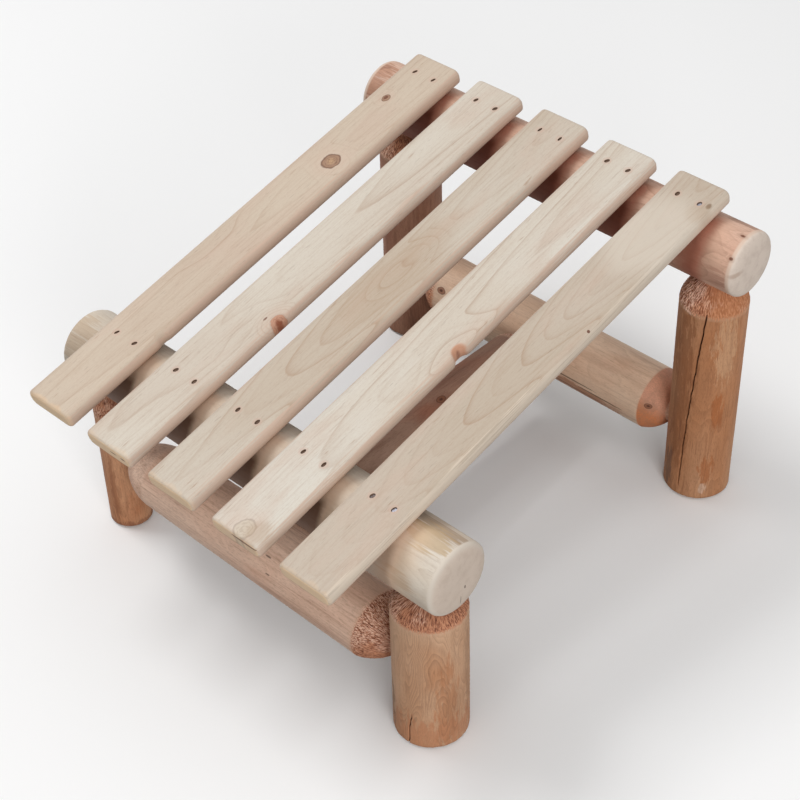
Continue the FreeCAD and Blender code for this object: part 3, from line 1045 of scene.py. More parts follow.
slat_names = [f"slat_{number}" for number in range(1, 6)]
slat_boxes = [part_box(slat_name) for slat_name in slat_names]
rail_looks = {
    "front_rail": {
        "pale": tone(222, 213, 200),
        "warm": tone(214, 201, 184),
        "blush": tone(206, 182, 156),
        "blush_share": 0.06,
        "grain": tone(146, 116, 92),
        # The next colours paint light and shade about the slats: a tinted fringe with painted shade, a lit
        # tan in the gaps and painted shade under the slats.
        "fringe_tint_and_shade": tone(222, 178, 148),
        "painted_gap_light": tone(220, 188, 156),
        "painted_gap_light_strength": 0.5,
        "painted_shade": tone(100, 62, 40),
        "patch_run": 14.0,
        "contours": 0.2,
        "streaks": 0.12,
        "figure": 0.4,
        "ridge": tone(216, 204, 190),
        "ridge_from": 0.3,
        "sanded": tone(212, 195, 180),
        "patches": [
            (on_log(-140, 0.016, 0.0395, 0.0140, 0.012), tone(192, 164, 132), 0.5),
            (on_log(160, 0.490, 0.0395, 0.0040, 0.026), tone(152, 124, 96), 0.65),
            (on_log(172, 0.500, 0.0395, 0.0025, 0.018), tone(162, 132, 100), 0.5),
            (on_log(184, 0.492, 0.0395, 0.0075, 0.014), tone(192, 166, 130), 0.75),
            (on_log(-98, 0.480, 0.0395, 0.0040, 0.012), tone(186, 156, 126), 0.6),
        ],
        "cracks": [
            ((0.0245, 0.0000, 0.524), (0.0060, 0.0005, 0.006)),
            ((0.0110, 0.0060, 0.524), (0.0022, 0.0012, 0.004)),
        ],
    },
    "back_rail": {
        "pale": tone(226, 190, 169),
        "warm": tone(214, 174, 151),
        "blush": tone(206, 158, 134),
        "blush_share": 0.06,
        "grain": tone(124, 82, 64),
        # The next colours paint light and shade about the slats: a dark reddish fringe that is partly
        # painted shade, a lit tan in the gaps and painted shade under the slats.
        "fringe_tint_and_shade": tone(164, 92, 70),
        "fringe_tint_and_shade_strength": 0.75,
        "painted_gap_light": tone(210, 168, 142),
        "painted_gap_light_strength": 0.4,
        "painted_shade": tone(116, 58, 40),
        "patch_run": 20.0,
        "contours": 0.6,
        "bump_run": 14.0,
        "ring_width": 0.0018,
        "ring_sharpness": 4.0,
        "figure": 0.6,
        "ridge": tone(220, 194, 175),
        "ridge_from": 0.75,
        "sanded": tone(228, 212, 198),
        "end_stains": [
            (((-0.0050, -0.0300, 0.513), (0.0016, 0.0050, 0.006)), tone(176, 144, 122), 0.5),
        ],
        "patches": [
            (on_log(-140, 0.012, 0.0365, 0.0140, 0.010), tone(186, 134, 106), 0.7),
            (on_log(-80, 0.480, 0.0365, 0.0060, 0.016), tone(160, 108, 90), 0.5),
            (on_log(150, 0.490, 0.0365, 0.0040, 0.014), tone(140, 100, 80), 0.6),
        ],
        "knots": [
            on_log(-127, 0.5035, 0.0365, 0.0016, 0.0020),
            on_log(-170, 0.5005, 0.0365, 0.0014, 0.0026),
        ],
    },
}
for number, (name, look) in enumerate(rail_looks.items()):
    low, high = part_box(name)
    radius = (high.y - low.y) / 2
    start = Vector((low.x + rail_end_sanding, (low.y + high.y) / 2, low.z + radius))
    stretches = rail_outline(radius, high.x - low.x - 2 * rail_end_sanding, look["ridge_from"])
    slat_places = [(slat_low.x - low.x, slat_high.x - low.x) for slat_low, slat_high in slat_boxes]
    look["slats"] = [(*sides, 1.0) for sides in slat_places[:-1]] + [(*slat_places[-1], last_slat_painted_shade)]
    log_piece(name, stretches, start, Vector((1, 0, 0)), look, first_rail_seed + number)

# Lock nails: short galvanised wire nails driven across the tenons from the back and from below.
# They keep the glued tenons from turning or pulling out, and the wood has closed over most of their heads.
lock_nails = ("rail_lock_nails", "leg_lock_nails", "centre_lock_nails")


def nail_steel_material():
    """Galvanised wire: dull blue-grey zinc with darker spangles, and brown stain on some of the heads."""
    zinc = tone(176, 176, 186)
    dull = tone(132, 130, 138)
    stain = tone(112, 88, 72)
    spangle_size = 900.0
    spangled = (0.35, 0.65)
    stain_size = 420.0
    stain_swing = 0.5
    stained = (0.2, 0.5)
    dullness = 0.35
    spangle_dulls = 0.2
    stain_dulls = 0.3
    zinc_metal = 0.75
    stain_covers = 0.7
    material, tree, shader = new_material("nail_steel")
    place = Wire(tree, tree.nodes.new("ShaderNodeTexCoord").outputs["Object"])
    spangle = noise(place, spangle_size)
    stain_share = attribute(tree, "stain") + (noise(place, stain_size, detail=3.0) - 0.5) * stain_swing
    stain_share = ramp(stain_share, *stained)
    looks = {
        "Base Color": mix(stain_share, mix(ramp(spangle, *spangled), dull, zinc), stain),
        "Roughness": dullness + spangle * spangle_dulls + stain_share * stain_dulls,
        "Metallic": zinc_metal - stain_share * stain_covers,
    }
    feed(shader, looks)
    return material


nail_steel = nail_steel_material()
for name in lock_nails:
    nails = frame["nodes"][name]
    nails.data.materials.clear()
    nails.data.materials.append(nail_steel)

# Slats: five dressed softwood boards laid side by side over the rails with open gaps.
# Their long edges are rounded with a cutter, and their sawn ends are eased with sandpaper.
# A knot has fallen out of one edge, and each board has its own knots and grain.
slat_slope = math.radians(11.9)
up_slat = Vector((0.0, math.cos(slat_slope), math.sin(slat_slope)))
out_of_slat = Vector((0.0, -math.sin(slat_slope), math.cos(slat_slope)))
slat_width = 0.0635
slat_thickness = 0.019
slat_length = 0.590
slat_edge_radius = 0.007
slat_end_bevel = 0.0012
slat_end_round = 0.0036
slat_crease = math.radians(50)
slat_grain_step = 2.0
nail_spacing = 0.027
nail_shift = 0.003
front_nail_row = 0.105
back_nail_row = 0.559
nail_set = 0.0016
nail_hole_width = 0.0064
grain_brown = tone(160, 122, 92)
edge_pink = tone(209, 181, 162)
knot_line = tone(106, 70, 50)
bite_dark = tone(106, 60, 44)
knot_kinds = {
    "sound": {
        "Body": (0.75, tone(146, 104, 74)),
        "Heart": (0.6, tone(198, 162, 126)),
        "Ring": (0.5, tone(104, 68, 48)),
        "Rim": (0.8, knot_line),
    },
    "red": {
        "Body": (0.7, tone(186, 124, 92)),
        "Heart": (0.85, tone(136, 72, 46)),
        "Ring": (0.4, tone(126, 70, 48)),
        "Rim": (0.15, knot_line),
    },
    "faint": {
        "Body": (0.5, tone(204, 192, 170)),
        "Heart": (0.1, tone(206, 190, 168)),
        "Ring": (0.3, tone(150, 122, 98)),
        "Rim": (0.35, knot_line),
    },
}


def dressed_board_tree():
    """A board with rounded long edges, eased sawn ends, a bite out of one edge and torn nail holes."""
    rows_across = 36
    rows_along = 300
    rows_thick = 12
    round_rows = 4.0
    unevenness = 0.010
    uneven_size = (10.0, 6.0, 10.0)
    chip_size = 160.0
    chipped = (0.62, 0.76)
    chip_depth = 0.0012
    bite_reach = 0.011
    bite_ridges = 420.0
    bite_ridge_depth = 0.0007
    hole_sides = 20
    hole_turn = (math.radians(-35), math.radians(5))
    hole_share = (0.45, 0.75)
    hole_cutter = 0.006
    hole_floor = 0.0003
    tiny = 0.000001
    tree, given, leave = open_tree(
        "dressed_board",
        "GeometryNodeTree",
        {
            "Geometry": ["Points"],
            "Float": [
                "Width", "Length", "Thickness", "Edge Radius", "End Round",
                "Bite Along", "Bite Length", "Bite Depth", "Hole Width", "Hole Roundness",
                "Nail Spacing", "Nail Shift", "Nail Set", "Front Nail Row", "Back Nail Row",
            ],
            "Int": ["Seed"],
            "Vector": ["Start", "Turn"],
            "Material": ["Material"],
        },
        {"Geometry": ["Board"]},
    )
    size = join(tree, given["Width"], given["Length"], given["Thickness"])
    block = wired(tree, "GeometryNodeMeshCube", size, rows_across, rows_along, rows_thick)
    position = wired(tree, "GeometryNodeInputPosition")
    x, y, z = split(position)
    half_width = given["Width"] * 0.5
    half_length = given["Length"] * 0.5
    half_thickness = given["Thickness"] * 0.5

    # Round the long edges: each point keeps its share of the way from the core to the surface
    def inner(value, half):
        core = half - given["Edge Radius"]
        return value.maths("MINIMUM", core).maths("MAXIMUM", core * -1.0)

    core_x = inner(x, half_width)
    core_z = inner(z, half_thickness)
    out_x = x - core_x
    out_z = z - core_z
    reach = out_x.maths("ABSOLUTE").maths("MAXIMUM", out_z.maths("ABSOLUTE"))
    spread = (out_x * out_x + out_z * out_z).maths("SQRT").maths("MAXIMUM", tiny)
    round_x = core_x + out_x * (reach / spread)
    round_z = core_z + out_z * (reach / spread)

    # Ease the ends: the last few rows bend round into the end face, and the rest spread out to follow
    row_step = given["Length"] / (rows_along - 1.0)
    from_end = half_length - y.maths("ABSOLUTE")
    bend = (from_end / (row_step * round_rows)).maths("MINIMUM", 1.0) * math.radians(90)
    end_round = given["End Round"]
    pulled_in = (1.0 - bend.maths("SINE")) * end_round
    rounded_depth = (1.0 - bend.maths("COSINE")) * end_round
    straight = (from_end - row_step * round_rows).maths("MAXIMUM", 0.0)
    straight = straight * ((half_length - end_round) / (half_length - row_step * round_rows))
    seed_place = vector_maths("ADD", position, join(tree, given["Seed"], 0.0, 0.0))
    uneven = 1.0 - cloud(seed_place, uneven_size) * unevenness
    chips = ramp(noise(seed_place, chip_size), *chipped) * chip_depth
    chips = chips * ramp(from_end, row_step, 0.0) * ramp(reach, 0.0, given["Edge Radius"])
    end_x = round_x * (1.0 - pulled_in / half_width) * uneven
    end_z = round_z * (1.0 - pulled_in / half_thickness)
    end_y = y.maths("SIGN") * (half_length - rounded_depth - straight - chips)

    # Take a bite out of the right hand edge, where a knot has fallen away
    along = end_y + half_length
    bite = ((along - given["Bite Along"]) / given["Bite Length"]).maths("POWER", 2.0)
    bite = (bite * bite * -1.0).maths("EXPONENT") * given["Bite Depth"]
    ridges = noise(seed_place, bite_ridges) * bite_ridge_depth * (bite / (given["Bite Depth"] + tiny))
    bite = (bite + ridges) * ramp(end_x, half_width - bite_reach, half_width)
    place = join(tree, end_x - bite, along, end_z + half_thickness)
    board = wired(tree, "GeometryNodeSetPosition", block, True, place)

    # Open a round, slightly torn hole over each nail
    def random(low, high, seed):
        return wired(tree, "FunctionNodeRandomValue", low, high, None, seed, data_type="FLOAT")

    nail_run = given["Back Nail Row"] - given["Front Nail Row"]
    nail_rows = wired(tree, "GeometryNodeMeshGrid", given["Nail Spacing"], nail_run, 2, 2)
    nail_along = (given["Back Nail Row"] + given["Front Nail Row"]) * 0.5
    nail_height = given["Thickness"] - given["Nail Set"] - hole_floor + hole_cutter * 0.5
    nail_middle = join(tree, given["Nail Shift"], nail_along, nail_height)
    nail_rows = wired(tree, "GeometryNodeTransform", nail_rows, nail_middle)
    cutter = wired(tree, "GeometryNodeMeshCylinder", hole_sides, 1, 1, 0.5, hole_cutter)
    hole_size = join(tree, given["Hole Width"], given["Hole Width"], 1.0)
    cutter = wired(tree, "GeometryNodeTransform", cutter, None, None, hole_size)
    turn = join(tree, 0.0, 0.0, random(*hole_turn, given["Seed"]))
    narrow = random(*hole_share, given["Seed"] + 1.0)
    width = join(tree, narrow.maths("MAXIMUM", given["Hole Roundness"]), 1.0, 1.0)
    cutters = wired(tree, "GeometryNodeInstanceOnPoints", nail_rows, True, cutter, False, None, turn, width)
    cutters = wired(tree, "GeometryNodeRealizeInstances", cutters)
    board = wired(tree, "GeometryNodeMeshBoolean", board, cutters, operation="DIFFERENCE", solver="EXACT")

    # Keep where each point lies in the board (across, through and along it) and how far it is from a nail
    board_x, board_y, board_z = split(position)
    board = stored(board, "board_place", join(tree, board_x, board_z, board_y), "FLOAT_VECTOR")
    board = stored(board, "bite", bite_mark(board_y, board_x, given))
    nearest = wired(tree, "GeometryNodeProximity", nail_rows, target_element="POINTS")
    board = stored(board, "from_nail", other_output(nearest, "Distance"))
    board = wired(tree, "GeometryNodeTransform", board, given["Start"], given["Turn"])
    feed(leave, {"Board": finished(board, given["Material"])})
    return tree


def bite_mark(along, across, given):
    """How much a point lies in the wood round the bite, from 0 to 1."""
    lip_reach = 0.012
    lip_full = 0.003
    deep_enough = (0.0015, 0.003)
    near = ((along - given["Bite Along"]) / given["Bite Length"]).maths("POWER", 2.0)
    near = (near * -1.0).maths("EXPONENT")
    half = given["Width"] * 0.5
    return near * ramp(across, half - lip_reach, half - lip_full) * ramp(given["Bite Depth"], *deep_enough)


def worked_edges(colour, look, board_place, length, streaks, late_wood):
    """Long edges rounded with a cutter, with painted shade on their lower half, and sawn ends that show the
    rings, with a painted shadow line along their foot.
    """
    edge_lower_shade = tone(186, 152, 132)
    end_tan = tone(228, 193, 154)
    end_pale = tone(236, 206, 170)
    edge_area = (slat_width / 2 - 0.0045, slat_width / 2)
    edge_swing = 0.02
    edge_strength = 0.75
    edge_underside = (0.010, 0.001)
    end_band = (0.0055, 0.001)
    end_swing = 0.012
    end_tint = look.get("end_tint", 0.25)
    end_ring_strength = 0.5
    end_face = (0.0009, 0.0002)
    end_shadow_reach = (0.0012, 0.0002)
    end_shadow_height = (0.004, 0.001)
    across, through, along = split(board_place)
    edge = across.maths("ABSOLUTE") + (streaks["Streak"] - 0.5) * edge_swing
    edge = ramp(edge, *edge_area) * edge_strength
    # A board may take a paler edge colour, painted light on its rounded edges.
    colour = mix(edge, colour, look.get("painted_light_edge", edge_pink))
    # Painted shade on the lower half of each rounded edge.
    colour = mix(edge * ramp(through, *edge_underside), colour, edge_lower_shade)
    from_end = along.maths("MINIMUM", length - along)
    band = ramp(along + (streaks["Band"] - 0.5) * end_swing, *end_band)
    colour = mix(band * end_tint, colour, end_tan)
    end_grain = mix(late_wood * end_ring_strength, end_pale, grain_brown)
    colour = mix(ramp(from_end, *end_face), colour, end_grain)
    # A painted shadow line along the foot of each end.
    return mix(ramp(from_end, *end_shadow_reach) * ramp(through, *end_shadow_height), colour, knot_line)


def board_marks(colour, look, board_place, knots, streak):
    """Knots, smudges and chips, and the wood round the bite."""
    halo_strength = 0.4
    smudge_base = 0.3
    smudged = (0.1, 0.8)
    lip_orange = tone(204, 142, 108)
    lip = (0.15, 0.5)
    lip_strength = 0.75
    deep = (0.72, 0.95)
    deep_strength = 0.85
    for mark, strength, kind in knots:
        colour = mix(mark["Halo"] * halo_strength * strength, colour, edge_pink)
        for part, (part_strength, part_colour) in knot_kinds[kind].items():
            colour = mix(mark[part] * part_strength * strength, colour, part_colour)
    for (centre, reach, strength), smudge_colour in look.get("smudges", []):
        spread = knot_at(board_place, centre, reach)["Halo"] * (streak + smudge_base)
        colour = mix(ramp(spread, *smudged) * strength, colour, smudge_colour)
    for centre, reach, strength in look.get("chips", []):
        colour = mix(knot_at(board_place, centre, reach)["Body"] * strength, colour, bite_dark)
    bite = attribute(board_place.tree, "bite")
    colour = mix(ramp(bite, *lip) * lip_strength, colour, lip_orange)
    return mix(ramp(bite, *deep) * deep_strength, colour, bite_dark)


def nail_holes(colour, through):
    """Bruised rims round the nail holes, and the brown wood inside them."""
    hole_brown = tone(116, 90, 72)
    rim_pink = tone(204, 172, 154)
    hole_radius = nail_hole_width / 2
    rim_area = (hole_radius + 0.0032, hole_radius + 0.0008)
    rim_depth = (slat_thickness - 0.0008, slat_thickness - 0.0002)
    rim_strength = 0.4
    hole_area = (hole_radius + 0.0012, hole_radius + 0.0006)
    hole_depth = (slat_thickness - 0.0002, slat_thickness - 0.0007)
    from_nail = attribute(through.tree, "from_nail")
    rim = ramp(from_nail, *rim_area) * ramp(through, *rim_depth)
    colour = mix(rim * rim_strength, colour, rim_pink)
    return mix(ramp(from_nail, *hole_area) * ramp(through, *hole_depth), colour, hole_brown)


def slat_wood(name, look, grain_from, length):
    """Dressed board: pale wood with thin growth lines, soft blotches, knots and pinkish worked edges."""
    rose = tone(203, 178, 160)
    ring_sharpness = 6.0
    ring_faintest = 0.25
    ring_sway = 0.010
    streak_fineness = 480.0
    knot_push = 0.012
    band_push = 0.0006
    blotch_size = (14.0, 14.0, 4.0)
    blotched = (0.35, 0.65)
    faded = (0.3, 0.6)
    fade_swing = 0.7
    grain_strength = 0.7
    rose_size = (30.0, 30.0, 9.0)
    rose_offset = (5.7, 0.0, 0.0)
    rosy = (0.5, 0.7)
    rose_strength = 0.35
    streak_shows = (0.45, 0.8)
    streak_strength = 0.26
    tooth_shows = (0.45, 0.75)
    tooth_strength = 0.16
    dash_strength = 0.5
    pore_strength = 0.25
    dullness = 0.5
    streak_dulls = 0.2
    streak_height = 0.3
    ring_height = 0.5
    pore_depth = 0.2
    bump_strength = 0.3
    bump_height = 0.0004
    material, tree, shader = new_material(name)
    board_place = attribute(tree, "board_place", "Vector")
    place = vector_maths("ADD", board_place, (0.0, 0.0, grain_from))
    streaks = placed(tree, fibre, {"Place": place, "Fineness": streak_fineness})
    push = (streaks["Band"] - 0.5) * band_push
    knots = []
    for (centre, reach, strength), kind in look["knots"]:
        mark = knot_at(board_place, centre, reach)
        push = push + mark["Halo"] * knot_push
        knots.append((mark, strength, kind))
    for centre, reach, amount in look["swirls"]:
        push = push + knot_at(board_place, centre, reach)["Halo"] * amount
    pith_x, pith_y = look["pith"]
    lean_x, lean_y = look["lean"]
    rings = placed(
        tree,
        growth_rings,
        {
            "Place": place,
            "Pith": (pith_x - lean_x * grain_from, pith_y - lean_y * grain_from, 0.0),
            "Lean": (lean_x, lean_y, 0.0),
            "Ring Width": look["ring_width"],
            "Sharpness": ring_sharpness,
            "Faintest": ring_faintest,
            "Sway": ring_sway,
            "Push": push,
        },
    )
    late_wood = rings["Late Wood"]
    colour = mix(ramp(cloud(place, blotch_size, detail=3.0), *blotched), look["cream"], look["tan"])
    fade = ramp(cloud(place, blotch_size), *faded) * fade_swing + (1.0 - fade_swing)
    colour = mix(late_wood * fade * grain_strength, colour, grain_brown)
    rose_place = vector_maths("ADD", place, rose_offset)
    rose_share = ramp(cloud(rose_place, rose_size, detail=3.0), *rosy)
    colour = mix(rose_share * rose_strength, colour, rose)
    for share, strength in (
        (ramp(streaks["Streak"], *streak_shows), streak_strength),
        (ramp(streaks["Tooth"], *tooth_shows), tooth_strength),
        (streaks["Dash"], dash_strength),
    ):
        colour = mix(share * strength, colour, grain_brown)
    colour = mix(streaks["Pore"] * pore_strength, colour, knot_line)
    colour = worked_edges(colour, look, board_place, length, streaks, late_wood)
    colour = board_marks(colour, look, board_place, knots, streaks["Streak"])
    colour = nail_holes(colour, split(board_place)[1])
    roughness = dullness + streaks["Streak"] * streak_dulls
    height = streaks["Streak"] * streak_height + late_wood * ring_height - streaks["Pore"] * pore_depth
    wood_finish(shader, colour, roughness, height, bump_strength, bump_height)
    return material


def in_board(from_left, along, width, length, strength):
    """A mark that goes right through a board, by its place and size on the top face."""
    through_board = 10.0
    centre = (from_left - slat_width / 2, slat_thickness / 2, along)
    return centre, (width / 2, through_board, length / 2), strength


def on_end(from_left, height, width, thickness, strength):
    """A mark on a board's front end, by its place and size there."""
    into_board = 0.002
    centre = (from_left - slat_width / 2, height, 0.0)
    return centre, (width / 2, thickness / 2, into_board), strength


smudge_brown = tone(168, 136, 104)
smudge_grey = tone(136, 112, 90)
smudge_pale = tone(224, 214, 200)
no_bite = (0.2, 0.01, 0.0)
slat_looks = [
    {
        "cream": tone(206, 190, 171),
        "tan": tone(199, 180, 161),
        "pith": (0.004, -0.045),
        "lean": (0.0, 0.02),
        "ring_width": 0.0032,
        "bite": (0.130, 0.006, 0.0012),
        "trim": 0.004,
        "knots": [
            (in_board(0.0389, 0.4047, 0.019, 0.022, 1.0), "sound"),
            (in_board(0.0226, 0.5099, 0.008, 0.011, 1.0), "sound"),
        ],
        "chips": [in_board(0.0218, 0.5105, 0.0044, 0.0064, 0.85)],
        "end_tint": 0.45,
        "swirls": [in_board(0.020, 0.250, 0.014, 0.040, 0.004)],
    },
    {
        "cream": tone(214, 205, 191),
        "tan": tone(207, 195, 180),
        "pith": (-0.012, -0.06),
        "lean": (0.01, 0.03),
        "ring_width": 0.0034,
        "bite": no_bite,
        "trim": 0.0025,
        "knots": [(in_board(0.0645, 0.209, 0.018, 0.020, 1.0), "red")],
        "swirls": [in_board(0.040, 0.190, 0.016, 0.036, 0.004)],
        "chips": [
            on_end(0.040, 0.011, 0.010, 0.0018, 0.8),
            on_end(0.054, 0.011, 0.007, 0.0022, 0.9),
            in_board(0.0500, 0.2035, 0.0026, 0.0060, 0.8),
        ],
    },
    {
        "cream": tone(205, 194, 179),
        "tan": tone(196, 181, 163),
        "pith": (0.0, -0.05),
        "lean": (0.0, 0.05),
        "ring_width": 0.0034,
        "bite": no_bite,
        "trim": 0.0015,
        "knots": [],
        "swirls": [in_board(0.031, 0.335, 0.014, 0.050, 0.010)],
        "smudges": [(in_board(0.032, 0.320, 0.030, 0.090, 0.3), smudge_brown)],
    },
    {
        "cream": tone(217, 210, 198),
        "tan": tone(211, 200, 185),
        "pith": (0.014, -0.055),
        "lean": (-0.01, 0.03),
        "ring_width": 0.0036,
        "bite": (0.281, 0.008, 0.0045),
        "trim": 0.002,
        "knots": [(in_board(0.0383, 0.0095, 0.020, 0.022, 0.8), "faint")],
        "swirls": [in_board(0.058, 0.281, 0.022, 0.040, 0.008)],
        "smudges": [(in_board(0.052, 0.014, 0.012, 0.014, 0.35), smudge_brown)],
        "chips": [on_end(0.046, 0.0142, 0.036, 0.0030, 0.85)],
    },
    {
        "cream": tone(199, 185, 169),
        "tan": tone(193, 178, 160),
        # This board's rounded edges are painted paler than its top, as painted light.
        "painted_light_edge": tone(224, 209, 191),
        "hole_roundness": 0.75,
        "pith": (0.002, -0.058),
        "lean": (0.0, 0.07),
        "ring_width": 0.0031,
        "bite": no_bite,
        "trim": 0.0,
        "knots": [],
        "chips": [in_board(0.0605, 0.368, 0.0026, 0.0036, 0.9)],
        "swirls": [],
        "smudges": [
            (in_board(0.058, 0.561, 0.0024, 0.0040, 0.9), smudge_grey),
            (in_board(0.054, 0.548, 0.012, 0.014, 0.3), smudge_brown),
            (in_board(0.032, 0.500, 0.040, 0.060, 0.5), smudge_pale),
        ],
    },
]
dressed_board = dressed_board_tree()
slat_starts = []
for index, (name, look) in enumerate(zip(slat_names, slat_looks)):
    low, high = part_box(name)
    front = low.y + (slat_thickness - slat_end_bevel) * math.sin(slat_slope)
    start = Vector(((low.x + high.x) / 2, front, low.z - slat_end_bevel * math.sin(slat_slope)))
    slat_starts.append(start)
    length = slat_length - look["trim"]
    bite_along, bite_length, bite_depth = look["bite"]
    slat = grown(
        name,
        bpy.data.meshes.new(name),
        dressed_board,
        {
            "Width": slat_width,
            "Length": length,
            "Thickness": slat_thickness,
            "Edge Radius": slat_edge_radius,
            "End Round": slat_end_round,
            "Bite Along": bite_along,
            "Bite Length": bite_length,
            "Bite Depth": bite_depth,
            "Nail Spacing": nail_spacing,
            "Nail Shift": nail_shift,
            "Nail Set": nail_set,
            "Front Nail Row": front_nail_row,
            "Back Nail Row": back_nail_row,
            "Hole Width": nail_hole_width,
            "Hole Roundness": look.get("hole_roundness", 0.0),
            "Seed": index + 1,
            "Start": tuple(start),
            "Turn": (slat_slope, 0.0, 0.0),
            "Material": slat_wood(name + "_wood", look, slat_grain_step * index, length),
        },
    )
    slat.data.set_sharp_from_angle(angle=slat_crease)
    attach(slat, "root")
    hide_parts(name)

# Slat nails: two galvanised wire nails through each slat into each rail.
# Their heads are driven below the wood, and most of them have stained brown in their holes.
nail_length = 0.045
nail_point = 0.005
nail_shank = 0.0015
nail_head = 0.0033
nail_head_thickness = 0.0013
nail_head_bevel = 0.0003
bright_nails = {(4, 0, 1): 0.0, (4, 1, 1): 0.2, (4, 0, 0): 0.4}
stained_nail = 0.8


def wire_nail_tree():
    """A wire nail at each point, with its head's top there, driven the way that the point aims."""
    head_sides = 28
    shank_sides = 14
    tree, given, leave = open_tree(
        "wire_nails",
        "GeometryNodeTree",
        {
            "Geometry": ["Heads"],
            "Float": ["Length", "Point", "Shank Radius", "Head Radius", "Head Thickness", "Head Bevel"],
            "Material": ["Material"],
        },
        {"Geometry": ["Nails"]},
    )

    def frustum(sides, top, bottom, low, high):
        part = wired(tree, "GeometryNodeMeshCone", sides, 1, 1, top, bottom, high - low)
        return wired(tree, "GeometryNodeTransform", part, join(tree, 0.0, 0.0, low))

    zero = given["Length"] * 0.0
    bevel = given["Head Bevel"]
    head = given["Head Radius"]
    shank = given["Shank Radius"]
    taper = given["Length"] - given["Point"]
    nail = tree.nodes.new("GeometryNodeJoinGeometry")
    for part in (
        frustum(head_sides, head, head - bevel, zero, bevel),
        frustum(head_sides, head, head, bevel, given["Head Thickness"]),
        frustum(shank_sides, shank, shank, given["Head Thickness"], taper),
        frustum(shank_sides, zero, shank, taper, given["Length"]),
    ):
        feed(nail, {"Geometry": part})
    nail = Wire(tree, nail.outputs["Geometry"])
    aim = named_value(tree, "aim", "FLOAT_VECTOR")
    turn = wired(tree, "FunctionNodeAlignRotationToVector", None, 1.0, aim, axis="Z")
    nails = wired(tree, "GeometryNodeInstanceOnPoints", given["Heads"], True, nail, False, None, turn)
    nails = wired(tree, "GeometryNodeRealizeInstances", nails)
    nails = wired(tree, "GeometryNodeSetMaterial", nails, True, given["Material"])
    feed(leave, {"Nails": nails})
    return tree


nail_heads = []
nail_stains = []
for index, start in enumerate(slat_starts):
    for row, seat in enumerate((front_nail_row, back_nail_row)):
        for side, half_spacing in enumerate((-nail_spacing / 2, nail_spacing / 2)):
            across = Vector((nail_shift + half_spacing, 0.0, 0.0))
            nail_heads.append(start + across + up_slat * seat + out_of_slat * (slat_thickness - nail_set))
            nail_stains.append(bright_nails.get((index, row, side), stained_nail))
heads_mesh = bpy.data.meshes.new("slat_nails")
heads_mesh.from_pydata(nail_heads, [], [])
aims = [part for _ in nail_heads for part in -out_of_slat]
heads_mesh.attributes.new("aim", "FLOAT_VECTOR", "POINT").data.foreach_set("vector", aims)
heads_mesh.attributes.new("stain", "FLOAT", "POINT").data.foreach_set("value", nail_stains)
slat_nails = grown(
    "slat_nails",
    heads_mesh,
    wire_nail_tree(),
    {
        "Length": nail_length,
        "Point": nail_point,
        "Shank Radius": nail_shank,
        "Head Radius": nail_head,
        "Head Thickness": nail_head_thickness,
        "Head Bevel": nail_head_bevel,
        "Material": nail_steel,
    },
)
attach(slat_nails, "root")
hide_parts(*[f"{name}_nails" for name in slat_names])

# Studio: a plain white floor under an even soft light, seen from above the front right corner.
# Two big soft lamps, one high on the left and one low on the right, give the logs their shading.
floor_half = 4.0
floor_roughness = 0.9
seen_white = 0.95
bounced_grey = 0.25
level_light = 0.25
overhead_light = 0.72
lamp_aim = Vector((0.0, 0.0, 0.2))
lamps = {
    "left_box": {"size": 1.4, "energy": 58.0, "place": (-2.0, -0.6, 3.4)},
    "right_box": {"size": 1.5, "energy": 57.0, "place": (3.0, -1.8, 1.3)},
}
camera_lens = 84.838
camera_sensor = 36.0
camera_place = (1.0583, -1.0372, 1.4642)
camera_turns = (48.68, 2.201, 43.383)


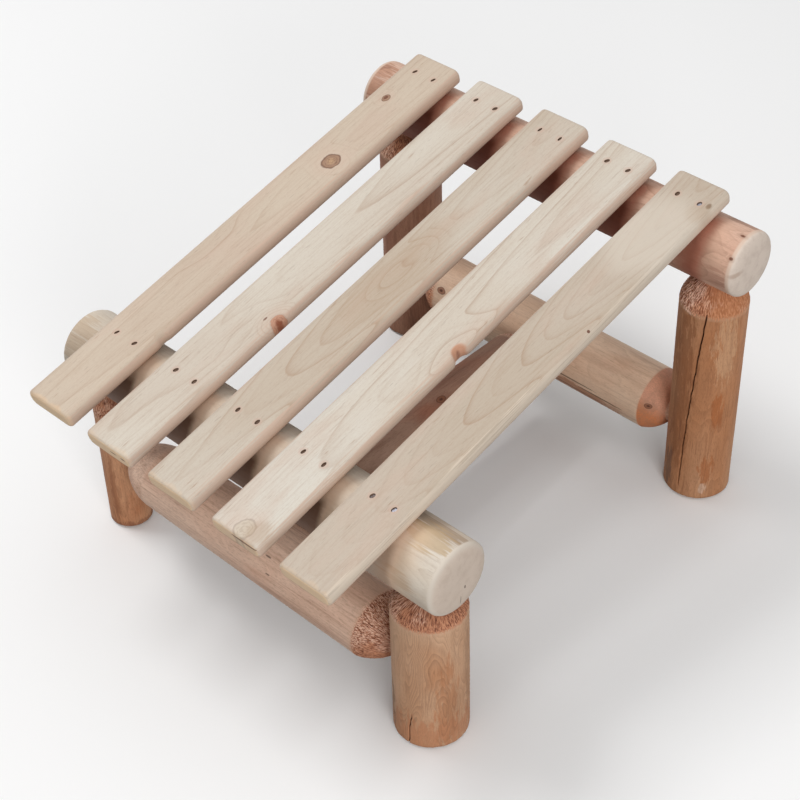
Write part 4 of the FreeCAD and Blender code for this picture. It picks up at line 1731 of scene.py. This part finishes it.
def seen_directly(tree):
    """1 for what is seen straight, in a shine or through glass, and 0 for bounced light."""
    path = tree.nodes.new("ShaderNodeLightPath")
    seen = Wire(tree, path.outputs["Is Camera Ray"])
    for ray in ("Is Glossy Ray", "Is Transmission Ray"):
        seen = seen.maths("MAXIMUM", Wire(tree, path.outputs[ray]))
    return seen


floor_material, floor_tree, floor_shader = new_material("pale_floor")
floor_tone = seen_directly(floor_tree) * (seen_white - bounced_grey) + bounced_grey
feed(floor_shader, {"Base Color": join(floor_tree, floor_tone, floor_tone, floor_tone)})
floor_shader.inputs["Roughness"].default_value = floor_roughness
floor_shader.inputs["Specular IOR Level"].default_value = 0.0
floor_mesh = bpy.data.meshes.new("floor")
floor_corners = [(floor_half * x, floor_half * y, 0) for x, y in ((-1, -1), (1, -1), (1, 1), (-1, 1))]
floor_mesh.from_pydata(floor_corners, [], [(0, 1, 2, 3)])
floor_mesh.materials.append(floor_material)
floor = bpy.data.objects.new("floor", floor_mesh)
bpy.context.scene.collection.objects.link(floor)
floor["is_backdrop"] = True

world = bpy.data.worlds.new("studio")
world.use_nodes = True
world_tree = world.node_tree
sky_place = Wire(world_tree, world_tree.nodes.new("ShaderNodeTexCoord").outputs["Generated"])
sky_height = split(sky_place)[2].maths("MAXIMUM", 0.0)
room_light = sky_height * (overhead_light - level_light) + level_light
background = world_tree.nodes["Background"]
background.inputs["Color"].default_value = (1.0, 1.0, 1.0, 1.0)
feed(background, {"Strength": room_light + seen_directly(world_tree) * (1.0 - room_light)})
bpy.context.scene.world = world

for name, values in lamps.items():
    lamp_data = bpy.data.lights.new(name, "AREA")
    lamp_data.shape = "SQUARE"
    lamp_data.size = values["size"]
    lamp_data.energy = values["energy"]
    lamp = bpy.data.objects.new(name, lamp_data)
    lamp.location = values["place"]
    lamp.rotation_euler = (lamp_aim - lamp.location).to_track_quat("-Z", "Y").to_euler()
    bpy.context.scene.collection.objects.link(lamp)

camera_data = bpy.data.cameras.new("camera")
camera_data.lens = camera_lens
camera_data.sensor_width = camera_sensor
camera = bpy.data.objects.new("camera", camera_data)
camera.location = camera_place
camera.rotation_euler = [math.radians(turn) for turn in camera_turns]
bpy.context.scene.collection.objects.link(camera)
bpy.context.scene.camera = camera
bpy.context.scene.view_settings.view_transform = "Standard"

low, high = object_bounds()
